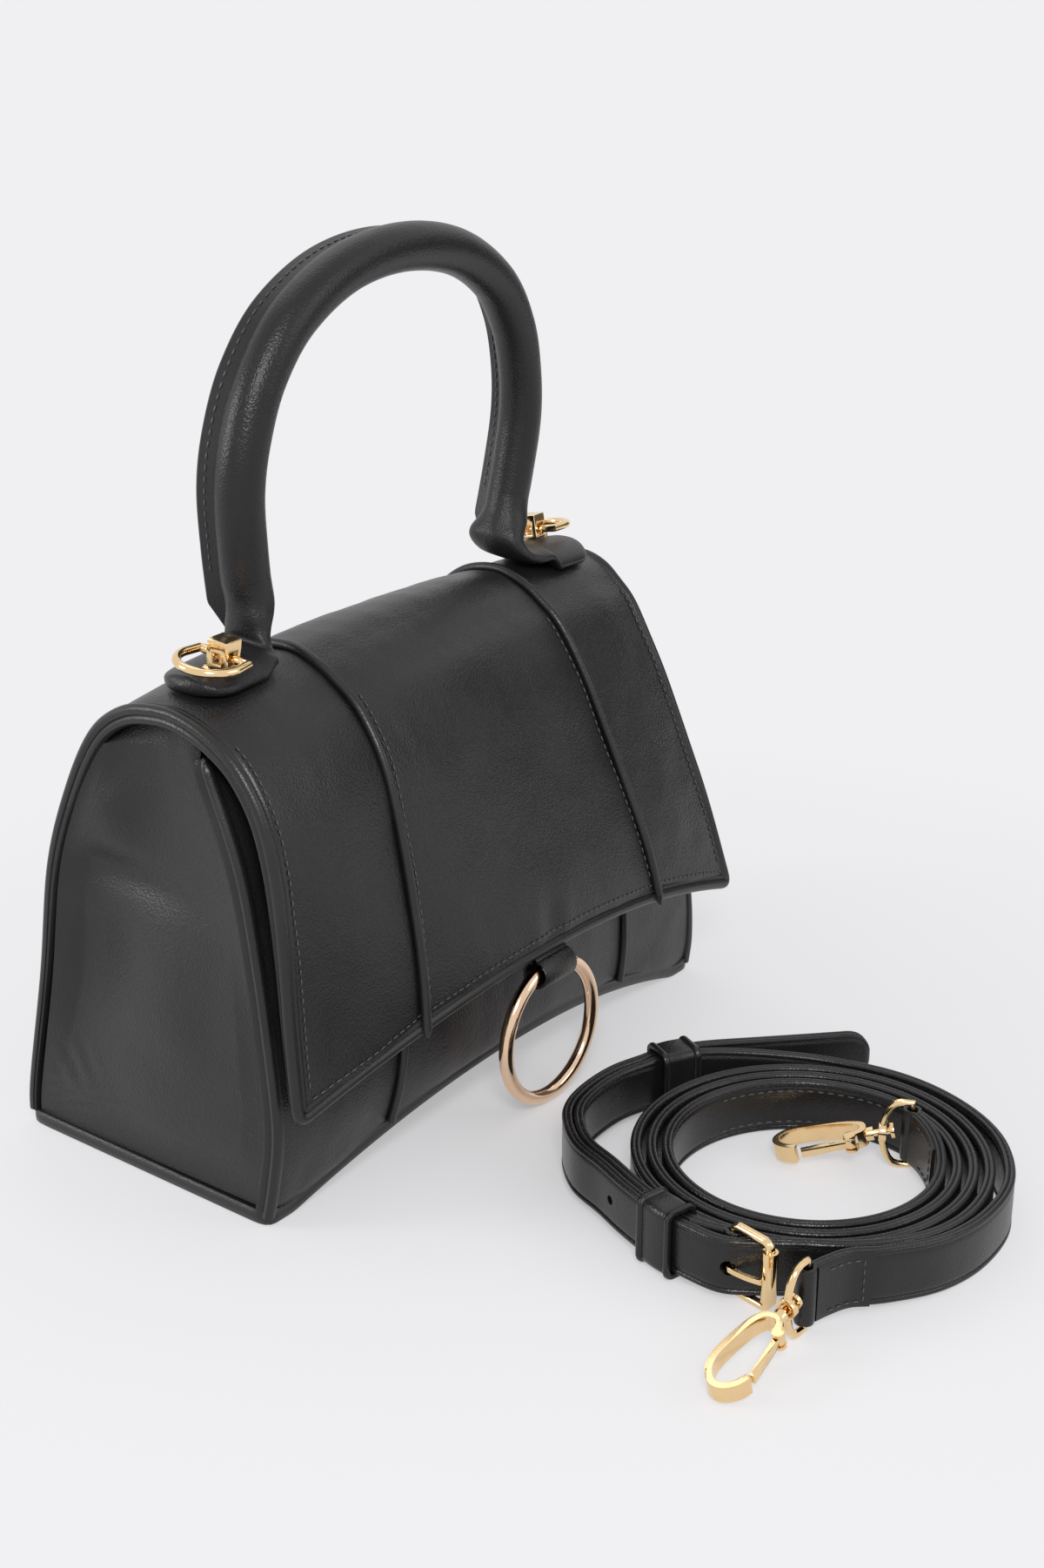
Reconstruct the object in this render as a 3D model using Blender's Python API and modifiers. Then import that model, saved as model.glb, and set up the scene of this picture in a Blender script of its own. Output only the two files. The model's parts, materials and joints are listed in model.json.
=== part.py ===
"""Leather handbag with a top handle, a folding flap and a coiled shoulder strap beside it.

Metres, Z up. The bag's width runs along X and its flap faces -Y. Positions are worked out in the bag's
own frame (middle of its base on the ground) and the whole set is then moved so that the frame's origin
is the middle of the underside of its bounding box.
"""

import math

import bmesh
import bpy
import numpy as np
from mathutils import Matrix, Vector

for old in list(bpy.data.objects):
    bpy.data.objects.remove(old)

# Bag body: outside sizes.
BAG_WIDTH = 0.240
BAG_DEPTH = 0.112
BAG_HEIGHT = 0.170
BASE_RISE = 0.0180
ARCH_HALF_SHARE = 0.90
FLAP_CORNER_SHARE = 0.241
FLAP_RISE_SHARE = 0.112

# Leather, linings and the clear space left between sewn pieces.
LEATHER = 0.0016
LINING = 0.0011
BOARD = 0.0020
LAYER_GAP = 0.0006
SEAM_GAP = 0.0005
BASE_GAP = 0.0008
LINING_GAP = 0.0012
SIDE_GAP = 0.0014
SIDE_LINING_SHARE = 0.955
PIPE_RADIUS = 0.0020
CORD_RADIUS = 0.0015
CORD_DEPTH = 0.0003
CORD_TAIL = 0.0030
SEAM_TOP = 0.0590
SEAM_BOTTOM = 0.0660
HINGE_GAP = 0.0010
GUSSET_FOLD = 0.0100
GUSSET_TOP_SHARE = 0.905
LINING_CORNER = 0.0100

# Profiles of the walls, as shares of the depth and the height: y and z at the full left end, y and z at
# the slack right end, and the swell added in the middle of the bag.
FRONT_SHARES = (
    (-0.350, 0.895, -0.179, 0.841, -0.006, -0.012),
    (-0.461, 0.706, -0.286, 0.706, -0.026, 0.000),
    (-0.506, 0.541, -0.384, 0.541, -0.091, 0.000),
    (-0.540, 0.353, -0.455, 0.353, -0.089, 0.000),
    (-0.556, 0.206, -0.500, 0.206, -0.052, 0.000),
    (-0.531, 0.088, -0.513, 0.088, -0.016, 0.000),
    (-0.500, 0.000, -0.500, 0.000, 0.000, 0.000),
)
OVER_SHARES = (
    (0.500, 0.000, 0.500, 0.000, 0.000, 0.000),
    (0.491, 0.088, 0.491, 0.088, 0.009, 0.000),
    (0.393, 0.353, 0.420, 0.353, 0.036, 0.000),
    (0.321, 0.588, 0.384, 0.588, 0.040, 0.000),
    (0.219, 0.753, 0.321, 0.753, 0.027, 0.006),
    (0.098, 0.882, 0.214, 0.882, 0.009, 0.018),
    (-0.036, 0.944, 0.107, 0.938, 0.000, 0.032),
    (-0.188, 0.962, -0.018, 0.953, 0.000, 0.035),
    (-0.295, 0.953, -0.116, 0.935, 0.000, 0.029),
    (-0.384, 0.929, -0.179, 0.900, -0.009, 0.026),
    (-0.473, 0.888, -0.237, 0.862, -0.018, 0.021),
    (-0.549, 0.812, -0.308, 0.782, -0.031, 0.012),
    (-0.589, 0.706, -0.375, 0.700, -0.045, 0.000),
    (-0.607, 0.565, -0.473, 0.559, -0.067, 0.000),
    (-0.616, 0.412, -0.562, 0.424, -0.089, 0.000),
    (-0.634, 0.235, -0.670, 0.229, -0.071, 0.000),
)
HINGE_ROW = 9
CROWN_ROW = 7
PROFILE_STEPS = 10

# Handle, its tabs, posts and D-rings.
HANDLE_RADIUS = 0.00775
HANDLE_WALL = 0.0014
HANDLE_RISE = 0.1060
HANDLE_LEAN = math.radians(5.0)
HANDLE_SHARES = (
    (1.000, 0.000), (1.056, 0.189), (1.090, 0.377), (1.056, 0.538),
    (0.958, 0.698), (0.760, 0.849), (0.420, 0.962), (0.000, 1.000),
)
FOOT_HALF = 0.0710
FOOT_BACK = 0.0040
WELT_WIDTH = 0.0080
WELT_THICK = 0.0034
WELT_END_SHARE = 0.020
TAB_LENGTH = 0.0460
TAB_WIDTH = 0.0260
TAB_THICK = 0.0050
TAB_ROUNDING_SHARE = 0.60
TAB_INNER = 0.0635
POST_SIZE = 0.0074
POST_HEIGHT = 0.0090
POST_WINDOW = 0.0042
POST_SIDE_SHARE = 0.85
POST_PLATE = 0.0012
POST_OUT = 0.0955
POST_FORWARD = {-1: 0.0045, 1: -0.0060}
DRING_WIRE = 0.0014
DRING_WIDTH = 0.0206
DRING_REACH = 0.0160
DRING_LIFT = 0.0033
RIVET_RADIUS = 0.0018
RIVET_OUT = 0.0080

# Ring pull on the flap, as shares of the height of the flap's edge, and the magnetic snap, whose height
# is a share of the bag's and whose thickness is a share of its depth.
RING_SHARE = 0.408
RING_WIRE = 0.0025
RING_CLEAR = 0.0007
RING_CENTRE_SHARE = 0.457
LOOP_WIDTH = 0.0170
LOOP_THICK = 0.0015
LOOP_TAIL = 0.0090
SNAP_HEIGHT_SHARE = 0.544
SNAP_RADIUS = 0.0065
SNAP_THICK_SHARE = 0.0118

# Shoulder strap, coiled on the ground in front of the bag. The tables give the angle round the coil in
# degrees and how many strap layers outside the winding the strap lies there.
STRAP_WIDTH = 0.0185
STRAP_THICK = 0.0032
STRAP_GAP = 0.0005
STRAP_LIFT = 0.0030
TIP_LIFT_SHARE = 0.50
END_LIFT_SHARE = 1.17
TIP_BLUNT_SHARE = 0.25
COIL_X = -0.0025
COIL_Y = -0.1800
COIL_FIRST_RADIUS = 0.0580
COIL_GAP = 0.0018
COIL_START = math.radians(209.0)
COIL_END = math.radians(1415.0)
COIL_STEP = math.radians(10.0)
TAIL_LAYERS = (
    (375, 7.90), (387, 5.70), (404, 4.42), (420, 4.76), (432, 5.30), (439, 5.46), (448, 6.00), (458, 6.32),
    (467.5, 6.53), (476, 6.18), (487.5, 5.07), (499, 3.40), (512, 2.70), (527, 2.60), (540, 2.78),
    (548, 2.90), (555, 2.25), (562, 1.66),
)
SHORT_LAYERS = (
    (210, 3.88), (215.3, 2.34), (221.6, 1.30), (232, 1.16), (250, 1.10), (270, 1.20), (290, 1.62),
    (310, 1.74), (328, 1.73), (347, 1.69), (365, 1.70), (385, 1.83), (404, 2.20), (421, 3.40),
)
TAIL_STEPS = 4
SHARED_START = 432.0
SHARED_END = 537.0
LIFT_SPAN = 60.0
BUCKLE_TURN = 549.0
BUCKLE_LAYERS = 1.44
BUCKLE_SPLAY = math.radians(20.0)
BUCKLE_REACH = 0.0141
BUCKLE_WIRE = 0.0011
BUCKLE_ROOM = 0.0017
ROLLER_RADIUS = 0.0024
EYE_CLEAR = 0.00035
EYE_WALL = 0.0016
PRONG_WIRE = 0.0008
PRONG_ROOM = 0.0008
PRONG_SLOT = 0.0052
PRONG_SHARES = ((0.040, -0.190), (0.180, -0.360), (0.330, -0.410), (0.710, -0.365), (1.040, -0.262))
PRONG_HOLE_RADIUS = 0.0024
HOLE_RADIUS = 0.0015
HOLE_COUNT = 5
HOLE_SPACING = 0.0250
KEEPER_LENGTH = 0.0138
KEEPER_WALL = 0.0012
KEEPER_CLEAR = 0.0005
KEEPER_SLACK = 0.0022
FIXED_KEEPER = 526.0
LOOSE_KEEPER = 430.0

# Snap hooks and the wire loops that carry them.
EYE_WIRE = 0.00125
BOW_REACH = 0.0092
BOW_ROOM = 0.0021
BOW_STRAIGHT_SHARE = 0.40
BOSS_RADIUS = 0.0031
BOSS_BORE = 0.0019
BOSS_LENGTH = 0.0024
STEM_RADIUS = 0.0011
HEAD_RADIUS = 0.0026
HEAD_THICK = 0.0012
HEAD_CLEAR = 0.0016
COLLAR_RADIUS = 0.0023
HOOK_TILT = math.radians(14.4)
HOOK_BAND = 0.0021
HOOK_HEIGHT = 0.0058
HOOK_LENGTH = 0.0360
HOOK_HALF_WIDTH = 0.0064
HOOK_BASE_SHARE = 0.165
HOOK_SHARES = (
    (0.290, 0.640), (0.185, 0.320), (HOOK_BASE_SHARE, 0.000), (0.190, -0.400), (0.290, -0.700), (0.500, -0.920),
    (0.720, -1.000), (0.860, -0.800), (0.945, -0.400), (0.969, 0.000), (0.945, 0.400), (0.870, 0.780),
    (0.780, 0.960),
)
HOOK_STEPS = 4
LUG_RADIUS = 0.0021
LUG_SKIN = 0.0008
PIN_RADIUS = 0.0007
GATE_SHARE = 0.50
GATE_GAP = 0.0004
GATE_WALL = 0.0007
GATE_THICK = 0.0017
NEAR_TURN = math.radians(177.0)
FAR_TURN = math.radians(119.0)

# How finely the shapes are drawn.
FRONT_ROWS = 10
BACK_ROWS = 18
FLAP_ROWS = 14
CROWDING = 1.3
CENTRE_COLUMNS = 8
SIDE_COLUMNS = 4
LINING_COLUMNS = 10
GUSSET_COLUMNS = 8
EDGE_STEPS = 20
HANDLE_STEPS = 3
PIPE_STEPS = 2
RING_STEPS = 36

set_collection = bpy.data.collections.new("handbag")
tool_collection = bpy.data.collections.new("cutters")
for each in (set_collection, tool_collection):
    bpy.context.scene.collection.children.link(each)


# Materials.
def material(name, colour, roughness, metallic=0.0):
    made = bpy.data.materials.new(name)
    made.use_nodes = True
    shader = made.node_tree.nodes["Principled BSDF"]
    shader.inputs["Base Color"].default_value = (*colour, 1.0)
    shader.inputs["Roughness"].default_value = roughness
    shader.inputs["Metallic"].default_value = metallic
    return made


LEATHER_BLACK = material("black_leather", (0.020, 0.020, 0.022), 0.42)
EDGE_BLACK = material("black_edge", (0.012, 0.012, 0.013), 0.35)
CLOTH = material("lining_cloth", (0.045, 0.042, 0.040), 0.90)
FIBRE = material("fibre_board", (0.30, 0.24, 0.17), 0.85)
FOAM = material("handle_cord", (0.72, 0.70, 0.64), 0.90)
ROSE_GOLD = material("rose_gold", (0.86, 0.60, 0.42), 0.18, 1.0)
PALE_GOLD = material("pale_gold", (0.90, 0.70, 0.40), 0.20, 1.0)
STEEL = material("magnet_steel", (0.60, 0.58, 0.54), 0.30, 1.0)


# Ways of making a piece.
def place(made, parent=None):
    set_collection.objects.link(made)
    if parent is not None:
        made.parent = parent
        made.matrix_parent_inverse = parent.matrix_world.inverted()
    return made


def empty(name, matrix, parent=None):
    made = bpy.data.objects.new(name, None)
    made.empty_display_size = HANDLE_RADIUS
    made.matrix_world = matrix
    set_collection.objects.link(made)
    if parent is not None:
        made.parent = parent
        made.matrix_parent_inverse = parent.matrix_world.inverted()
    return made


def from_bmesh(name, mesh_data, surface):
    mesh = bpy.data.meshes.new(name)
    mesh_data.to_mesh(mesh)
    mesh_data.free()
    mesh.materials.append(surface)
    return bpy.data.objects.new(name, mesh)


def sheet(name, shape, across, down, thickness, surface, toward, parent=None):
    """A leather or cloth piece: a grid laid over shape(u, v) and thickened away from the side it shows."""
    grid = bmesh.new()
    bmesh.ops.create_grid(grid, x_segments=len(across) - 1, y_segments=len(down) - 1, size=1.0)
    for vertex in grid.verts:
        u = across[round((vertex.co.x + 1) / 2 * (len(across) - 1))]
        v = down[round((vertex.co.y + 1) / 2 * (len(down) - 1))]
        vertex.co = shape(u, v)
    grid.normal_update()
    turned = sum((face.normal * face.calc_area() for face in grid.faces), Vector())
    if turned.dot(toward) < 0:
        bmesh.ops.reverse_faces(grid, faces=grid.faces[:])
    made = from_bmesh(name, grid, surface)
    thick = made.modifiers.new("thickness", "SOLIDIFY")
    thick.thickness = thickness
    thick.offset = -1.0
    thick.use_even_offset = True
    return place(made, parent)


def shares(count):
    return [i / count for i in range(count + 1)]


def tube(name, points, radius, surface, parent=None, closed=False, linked=True):
    """A round cord or wire along the points."""
    curve = bpy.data.curves.new(name, "CURVE")
    curve.dimensions = "3D"
    curve.bevel_depth = radius
    curve.bevel_resolution = PIPE_STEPS
    curve.use_fill_caps = not closed
    line = curve.splines.new("POLY")
    line.points.add(len(points) - 1)
    for i, point in enumerate(points):
        line.points[i].co = (*point, 1.0)
    line.use_cyclic_u = closed
    curve.materials.append(surface)
    made = bpy.data.objects.new(name, curve)
    return place(made, parent) if linked else made


def outline(name, loops, half_height, surface):
    """A flat piece with the given outline and holes, thickened to both sides of its plane."""
    curve = bpy.data.curves.new(name, "CURVE")
    curve.dimensions = "2D"
    curve.fill_mode = "BOTH"
    curve.extrude = half_height
    for loop in loops:
        line = curve.splines.new("POLY")
        line.points.add(len(loop) - 1)
        for i, (x, y) in enumerate(loop):
            line.points[i].co = (x, y, 0.0, 1.0)
        line.use_cyclic_u = True
    curve.materials.append(surface)
    return bpy.data.objects.new(name, curve)


def as_mesh(made, matrix=None):
    """The object's shape as a welded mesh, moved by the matrix."""
    bpy.context.scene.collection.objects.link(made)
    bpy.context.view_layer.update()
    mesh = bpy.data.meshes.new_from_object(made.evaluated_get(bpy.context.evaluated_depsgraph_get()))
    bpy.data.objects.remove(made)
    welded = bmesh.new()
    welded.from_mesh(mesh)
    bmesh.ops.remove_doubles(welded, verts=welded.verts[:], dist=1e-6)
    if matrix is not None:
        bmesh.ops.transform(welded, matrix=matrix, verts=welded.verts[:])
    bmesh.ops.recalc_face_normals(welded, faces=welded.faces[:])
    welded.to_mesh(mesh)
    welded.free()
    return mesh


def solid(name, mesh, parent=None):
    return place(bpy.data.objects.new(name, mesh), parent)


def cylinder(radius, length, matrix, sides=20):
    shape = bmesh.new()
    bmesh.ops.create_cone(
        shape, cap_ends=True, segments=sides, radius1=radius, radius2=radius, depth=length, matrix=matrix
    )
    return shape


def box(size, matrix):
    shape = bmesh.new()
    bmesh.ops.create_cube(shape, size=1.0, matrix=matrix @ Matrix.Diagonal((*size, 1.0)))
    return shape


def tool(name, shape):
    """A shape that only cuts or joins another one."""
    mesh = bpy.data.meshes.new(name)
    if isinstance(shape, bmesh.types.BMesh):
        shape.to_mesh(mesh)
        shape.free()
    else:
        mesh = shape
    made = bpy.data.objects.new(name, mesh)
    tool_collection.objects.link(made)
    made.hide_render = True
    made.display_type = "WIRE"
    return made


def combine(made, other, operation):
    step = made.modifiers.new(operation.lower(), "BOOLEAN")
    step.operation = operation
    step.solver = "EXACT"
    step.object = other
    other.parent = made.parent
    other.matrix_parent_inverse = made.matrix_parent_inverse


def smooth(rows, steps):
    """Curve through the rows, with this many steps in each span."""
    p = np.asarray(rows, float)
    p = np.vstack([2 * p[0] - p[1], p, 2 * p[-1] - p[-2]])
    t = np.linspace(0.0, 1.0, steps, endpoint=False)[:, None]
    spans = [
        0.5 * (2 * b + (c - a) * t + (2 * a - 5 * b + 4 * c - d) * t**2 + (3 * b - a - 3 * c + d) * t**3)
        for a, b, c, d in zip(p[:-3], p[1:-2], p[2:-1], p[3:])
    ]
    return np.vstack([*spans, p[-2:-1]])


class Wall:
    """A leather wall of the bag. Its profile changes across the width, and depth goes into the bag."""

    def __init__(self, rows, zero_row):
        self.rows = np.array(rows)
        self.zero = zero_row * PROFILE_STEPS
        self.lines = {}

    def line(self, x):
        key = round(x, 6)
        if key not in self.lines:
            r = self.rows
            side = 0.5 + x / BAG_WIDTH
            middle = 1.0 - (2.0 * x / BAG_WIDTH) ** 2
            points = smooth(
                np.column_stack([
                    BAG_DEPTH * ((1 - side) * r[:, 0] + side * r[:, 2] + middle * r[:, 4]),
                    BAG_HEIGHT * ((1 - side) * r[:, 1] + side * r[:, 3] + middle * r[:, 5]),
                ]),
                PROFILE_STEPS,
            )
            arcs = np.concatenate([[0.0], np.cumsum(np.hypot(*np.diff(points, axis=0).T))])
            along = np.gradient(points, arcs, axis=0)
            along /= np.hypot(along[:, 0], along[:, 1])[:, None]
            self.lines[key] = arcs - arcs[self.zero], points, np.column_stack([-along[:, 1], along[:, 0]])
        return self.lines[key]

    def at(self, x, arc, depth=0.0):
        arcs, points, inward = self.line(x)
        y, z = (np.interp(arc, arcs, points[:, i]) for i in (0, 1))
        ny, nz = (np.interp(arc, arcs, inward[:, i]) for i in (0, 1))
        return Vector((x, y + ny * depth, z + nz * depth))

    def outward(self, x, arc):
        arcs, _, inward = self.line(x)
        y, z = np.interp(arc, arcs, inward[:, 0]), np.interp(arc, arcs, inward[:, 1])
        return -Vector((0.0, y, z)).normalized()

    def rising(self, x, height):
        """Arc at which the wall goes up through the height."""
        arcs, points, _ = self.line(x)
        top = int(np.argmax(points[:, 1])) + 1
        return float(np.interp(height, points[:top, 1], arcs[:top]))

    def falling(self, x, height):
        """Arc at which the wall comes down through the height."""
        arcs, points, _ = self.line(x)
        top = int(np.argmax(points[:, 1]))
        return float(np.interp(height, points[top:, 1][::-1], arcs[top:][::-1]))


FRONT = Wall(FRONT_SHARES, 0)
OVER = Wall(OVER_SHARES, HINGE_ROW)

PIPE_X = BAG_WIDTH / 2 - PIPE_RADIUS
PANEL_HALF = PIPE_X - PIPE_RADIUS - SEAM_GAP
ARCH_HALF = BAG_WIDTH / 2 * ARCH_HALF_SHARE
PIPE_BAND = 2 * PIPE_RADIUS + BASE_GAP
FLAP_THICK = LEATHER + LAYER_GAP + LINING


def arch(x):
    return BASE_RISE * max(0.0, 1.0 - (x / ARCH_HALF) ** 2)


def flap_edge(x):
    return BAG_HEIGHT * (FLAP_CORNER_SHARE + FLAP_RISE_SHARE * (1.0 - (2.0 * x / BAG_WIDTH) ** 2))


def mix(a, b, t):
    return a * (1 - t) + b * t


def seam_x(share):
    return mix(SEAM_TOP, SEAM_BOTTOM, share)


# The three leather runs: from the mouth down the front, from the hinge down the back, from the hinge
# down the flap. Each gives the arc at a share of the way down.
def front_run(x, v):
    return mix(0.0, FRONT.falling(x, arch(x) + PIPE_BAND), v)


def back_run(x, v):
    return mix(-HINGE_GAP / 2, OVER.rising(x, arch(x) + PIPE_BAND), v)


def flap_run(x, v):
    return mix(HINGE_GAP / 2, OVER.falling(x, flap_edge(x)) - PIPE_RADIUS - SEAM_GAP, v)


def downs(count):
    """Shares of the way down, closer together at the top, where the leather bends most."""
    return [t**CROWDING for t in shares(count)]


FRONT_DOWN, BACK_DOWN, FLAP_DOWN = shares(FRONT_ROWS), downs(BACK_ROWS), downs(FLAP_ROWS)
RUNS = {
    "front": (FRONT, front_run, FRONT_DOWN, Vector((0, -1, 0))),
    "back": (OVER, back_run, BACK_DOWN, Vector((0, 1, 0.5))),
    "flap": (OVER, flap_run, FLAP_DOWN, Vector((0, -1, 0.5))),
}
EDGES = {
    "left": (lambda v: -PANEL_HALF, lambda v: -seam_x(v) - CORD_RADIUS - SEAM_GAP),
    "centre": (
        lambda v: -seam_x(v) + CORD_RADIUS + SEAM_GAP,
        lambda v: seam_x(v) - CORD_RADIUS - SEAM_GAP,
    ),
    "right": (lambda v: seam_x(v) + CORD_RADIUS + SEAM_GAP, lambda v: PANEL_HALF),
}

# Placement: the bag and the coil hang from one parent, moved to the frame at the end.
bag = empty("bag", Matrix.Identity(4))
flap = empty("flap_axis", Matrix.Translation(OVER.at(0.0, 0.0)), bag)

# Leather panels with a corded seam between each two.
for run, (wall, arcs, rows, toward) in RUNS.items():
    parent = flap if run == "flap" else bag
    for side, (start, stop) in EDGES.items():
        def panel(u, v, wall=wall, arcs=arcs, start=start, stop=stop):
            x = mix(start(v), stop(v), u)
            return wall.at(x, arcs(x, v))
        columns = shares(CENTRE_COLUMNS if side == "centre" else SIDE_COLUMNS)
        sheet(f"{run}_panel_{side}", panel, columns, rows, LEATHER, LEATHER_BLACK, toward, parent)
    for side, sign in (("left", -1), ("right", 1)):
        path = [wall.at(sign * seam_x(v), arcs(sign * seam_x(v), v), CORD_DEPTH) for v in rows]
        tube(f"{run}_seam_cord_{side}", path, CORD_RADIUS, EDGE_BLACK, parent)

# Flap lining and the piping round the flap's three free edges.
def flap_lining(u, v):
    x = mix(-PANEL_HALF, PANEL_HALF, u)
    return OVER.at(x, flap_run(x, v), LEATHER + LAYER_GAP)


sheet("flap_lining", flap_lining, shares(LINING_COLUMNS), FLAP_DOWN, LINING, CLOTH, Vector((0, -1, 0.5)), flap)


def flap_side(sign):
    end = OVER.falling(sign * PIPE_X, flap_edge(PIPE_X))
    return [OVER.at(sign * PIPE_X, mix(HINGE_GAP / 2, end, v), FLAP_THICK / 2) for v in FLAP_DOWN]


bottom_edge = [
    OVER.at(x, OVER.falling(x, flap_edge(x)), FLAP_THICK / 2)
    for x in (mix(-PIPE_X, PIPE_X, u) for u in shares(EDGE_STEPS))
]
tube("flap_edge_piping", flap_side(-1) + bottom_edge[1:-1] + flap_side(1)[::-1], PIPE_RADIUS, EDGE_BLACK, flap)

# Body piping: down the front corners, down the back corners from the hinge, and round the base.
for side, sign in (("left", -1), ("right", 1)):
    x = sign * PIPE_X
    tube(f"front_piping_{side}", [FRONT.at(x, front_run(x, v), PIPE_RADIUS) for v in FRONT_DOWN], PIPE_RADIUS,
         EDGE_BLACK, bag)
    tube(f"back_piping_{side}", [OVER.at(x, back_run(x, v), PIPE_RADIUS) for v in BACK_DOWN], PIPE_RADIUS,
         EDGE_BLACK, bag)


def base_front(x):
    return FRONT.at(x, FRONT.falling(x, arch(x) + PIPE_RADIUS)).y


def base_back(x):
    return OVER.at(x, OVER.rising(x, arch(x) + PIPE_RADIUS)).y


base_xs = [mix(-PIPE_X, PIPE_X, u) for u in shares(EDGE_STEPS)]
base_path = [Vector((x, base_front(x) + PIPE_RADIUS, arch(x) + PIPE_RADIUS)) for x in base_xs]
base_path += [Vector((x, base_back(x) - PIPE_RADIUS, arch(x) + PIPE_RADIUS)) for x in base_xs[::-1]]
tube("base_piping", base_path, PIPE_RADIUS, EDGE_BLACK, bag, closed=True)

# Base panel, stiffening board and the lining that runs down the front, over the base and up the back.
BASE_ACROSS = [-PANEL_HALF] + [mix(-ARCH_HALF, ARCH_HALF, u) for u in shares(LINING_COLUMNS)] + [PANEL_HALF]
BOARD_LIFT = LEATHER + LAYER_GAP
LINING_LIFT = BOARD_LIFT + BOARD + LAYER_GAP


def base_panel(x, v):
    return Vector((x, mix(base_front(x) + PIPE_BAND, base_back(x) - PIPE_BAND, v), arch(x)))


def base_board(x, v):
    x *= (PANEL_HALF - LAYER_GAP) / PANEL_HALF
    y = mix(base_front(x) + LINING_CORNER, base_back(x) - LINING_CORNER, v)
    return Vector((x, y, arch(x) + BOARD_LIFT + BOARD))


def lining_path(x):
    bottom = arch(x) + LINING_LIFT
    front = FRONT.falling(x, bottom + LINING_CORNER)
    back = OVER.rising(x, bottom + LINING_CORNER)
    top = OVER.rising(x, BAG_HEIGHT * GUSSET_TOP_SHARE)
    depth = LEATHER + LINING_GAP
    down = [FRONT.at(x, mix(PIPE_BAND, front, v), depth) for v in shares(7)]
    up = [OVER.at(x, mix(back, top, v), depth) for v in shares(9)]
    y_front, y_back = down[-1].y + LINING_CORNER, up[0].y - LINING_CORNER
    rounding = [math.pi / 2 * t for t in shares(3)[1:-1]]
    rows = down
    rows += [Vector((x, y_front - LINING_CORNER * math.cos(a), bottom + LINING_CORNER * (1 - math.sin(a))))
             for a in rounding]
    rows += [Vector((x, mix(y_front, y_back, v), bottom)) for v in shares(2)]
    rows += [Vector((x, y_back + LINING_CORNER * math.cos(a), bottom + LINING_CORNER * (1 - math.sin(a))))
             for a in rounding[::-1]]
    return rows + up


LINING_HALF = PANEL_HALF - SIDE_GAP - LAYER_GAP
LINING_ACROSS = [-LINING_HALF] + BASE_ACROSS[1:-1] + [LINING_HALF]
LINING_LINES = {x: lining_path(x) for x in LINING_ACROSS}

sheet("base_panel", base_panel, BASE_ACROSS, shares(2), LEATHER, LEATHER_BLACK, Vector((0, 0, -1)), bag)
sheet("base_board", base_board, BASE_ACROSS, shares(2), BOARD, FIBRE, Vector((0, 0, 1)), bag)
lining_stops = list(range(len(LINING_LINES[LINING_HALF])))
sheet("lining_body", lambda x, i: LINING_LINES[x][i], LINING_ACROSS, lining_stops, LINING, CLOTH,
      Vector((0, 0, -1)), bag)


# Gussets and the lining inside each: they fold inward towards the mouth.
def gusset_shape(sign, inset, down):
    def shape(u, v):
        v *= down
        band = PIPE_BAND + LAYER_GAP
        front = FRONT.at(sign * PIPE_X, front_run(sign * PIPE_X, v), band)
        low = OVER.rising(sign * PIPE_X, PIPE_BAND)
        high = OVER.rising(sign * PIPE_X, BAG_HEIGHT * GUSSET_TOP_SHARE)
        back = OVER.at(sign * PIPE_X, mix(high, low, v), band)
        rise = min(1.0, max(0.0, (0.94 - v) / 0.7))
        fold = GUSSET_FOLD * math.sin(math.pi * u) ** 1.5 * rise * rise * (3 - 2 * rise)
        point = front.lerp(back, u)
        point.x = sign * (PIPE_X + LEATHER / 2 - inset - fold)
        return point
    return shape


for side, sign in (("left", -1), ("right", 1)):
    toward = Vector((sign, 0, 0))
    sheet(f"gusset_{side}", gusset_shape(sign, 0.0, 1.0), shares(GUSSET_COLUMNS), FRONT_DOWN,
          LEATHER, LEATHER_BLACK, toward, bag)
    sheet(f"lining_{side}", gusset_shape(sign, LEATHER + SIDE_GAP, SIDE_LINING_SHARE), shares(GUSSET_COLUMNS),
          FRONT_DOWN, LINING, CLOTH, toward, bag)

# Handle tabs, lying on the crown of the bag, and the handle that stands on them.
CROWN_ARC = {sign: OVER.line(sign * FOOT_HALF)[0][CROWN_ROW * PROFILE_STEPS] for sign in (-1, 1)}
TAB_TOP = LAYER_GAP + TAB_THICK


def tab_shape(sign):
    def shape(u, v):
        a, b = 2 * u - 1, 2 * v - 1
        x = sign * (TAB_INNER + TAB_LENGTH / 2 * (1 + a * math.sqrt(1 - TAB_ROUNDING_SHARE * b * b / 2)))
        arc = CROWN_ARC[sign] + TAB_WIDTH / 2 * b * math.sqrt(1 - TAB_ROUNDING_SHARE * a * a / 2)
        return OVER.at(x, arc, -TAB_TOP)
    return shape


foot = {}
for side, sign in (("left", -1), ("right", 1)):
    sheet(f"handle_tab_{side}", tab_shape(sign), shares(8), shares(6), TAB_THICK, LEATHER_BLACK,
          Vector((0, 0, 1)), bag)
    foot[sign] = OVER.at(sign * FOOT_HALF, CROWN_ARC[sign] - FOOT_BACK, -TAB_TOP - SEAM_GAP - HANDLE_RADIUS)

handle_middle = (foot[-1] + foot[1]) / 2
handle_half = (foot[1] - foot[-1]).length / 2
handle_x = (foot[1] - foot[-1]).normalized()
handle_back = handle_x.cross(Vector((0, 0, 1))).normalized() * -1
handle_up = (Matrix.Rotation(HANDLE_LEAN, 4, handle_x) @ handle_x.cross(handle_back)).normalized()
if handle_up.z < 0:
    handle_up = -handle_up
handle_back = handle_up.cross(handle_x).normalized()
turn = Matrix((handle_x, handle_back, handle_up)).transposed().to_4x4()
turn.translation = handle_middle
handle = empty("handle_axis", turn, bag)

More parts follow.
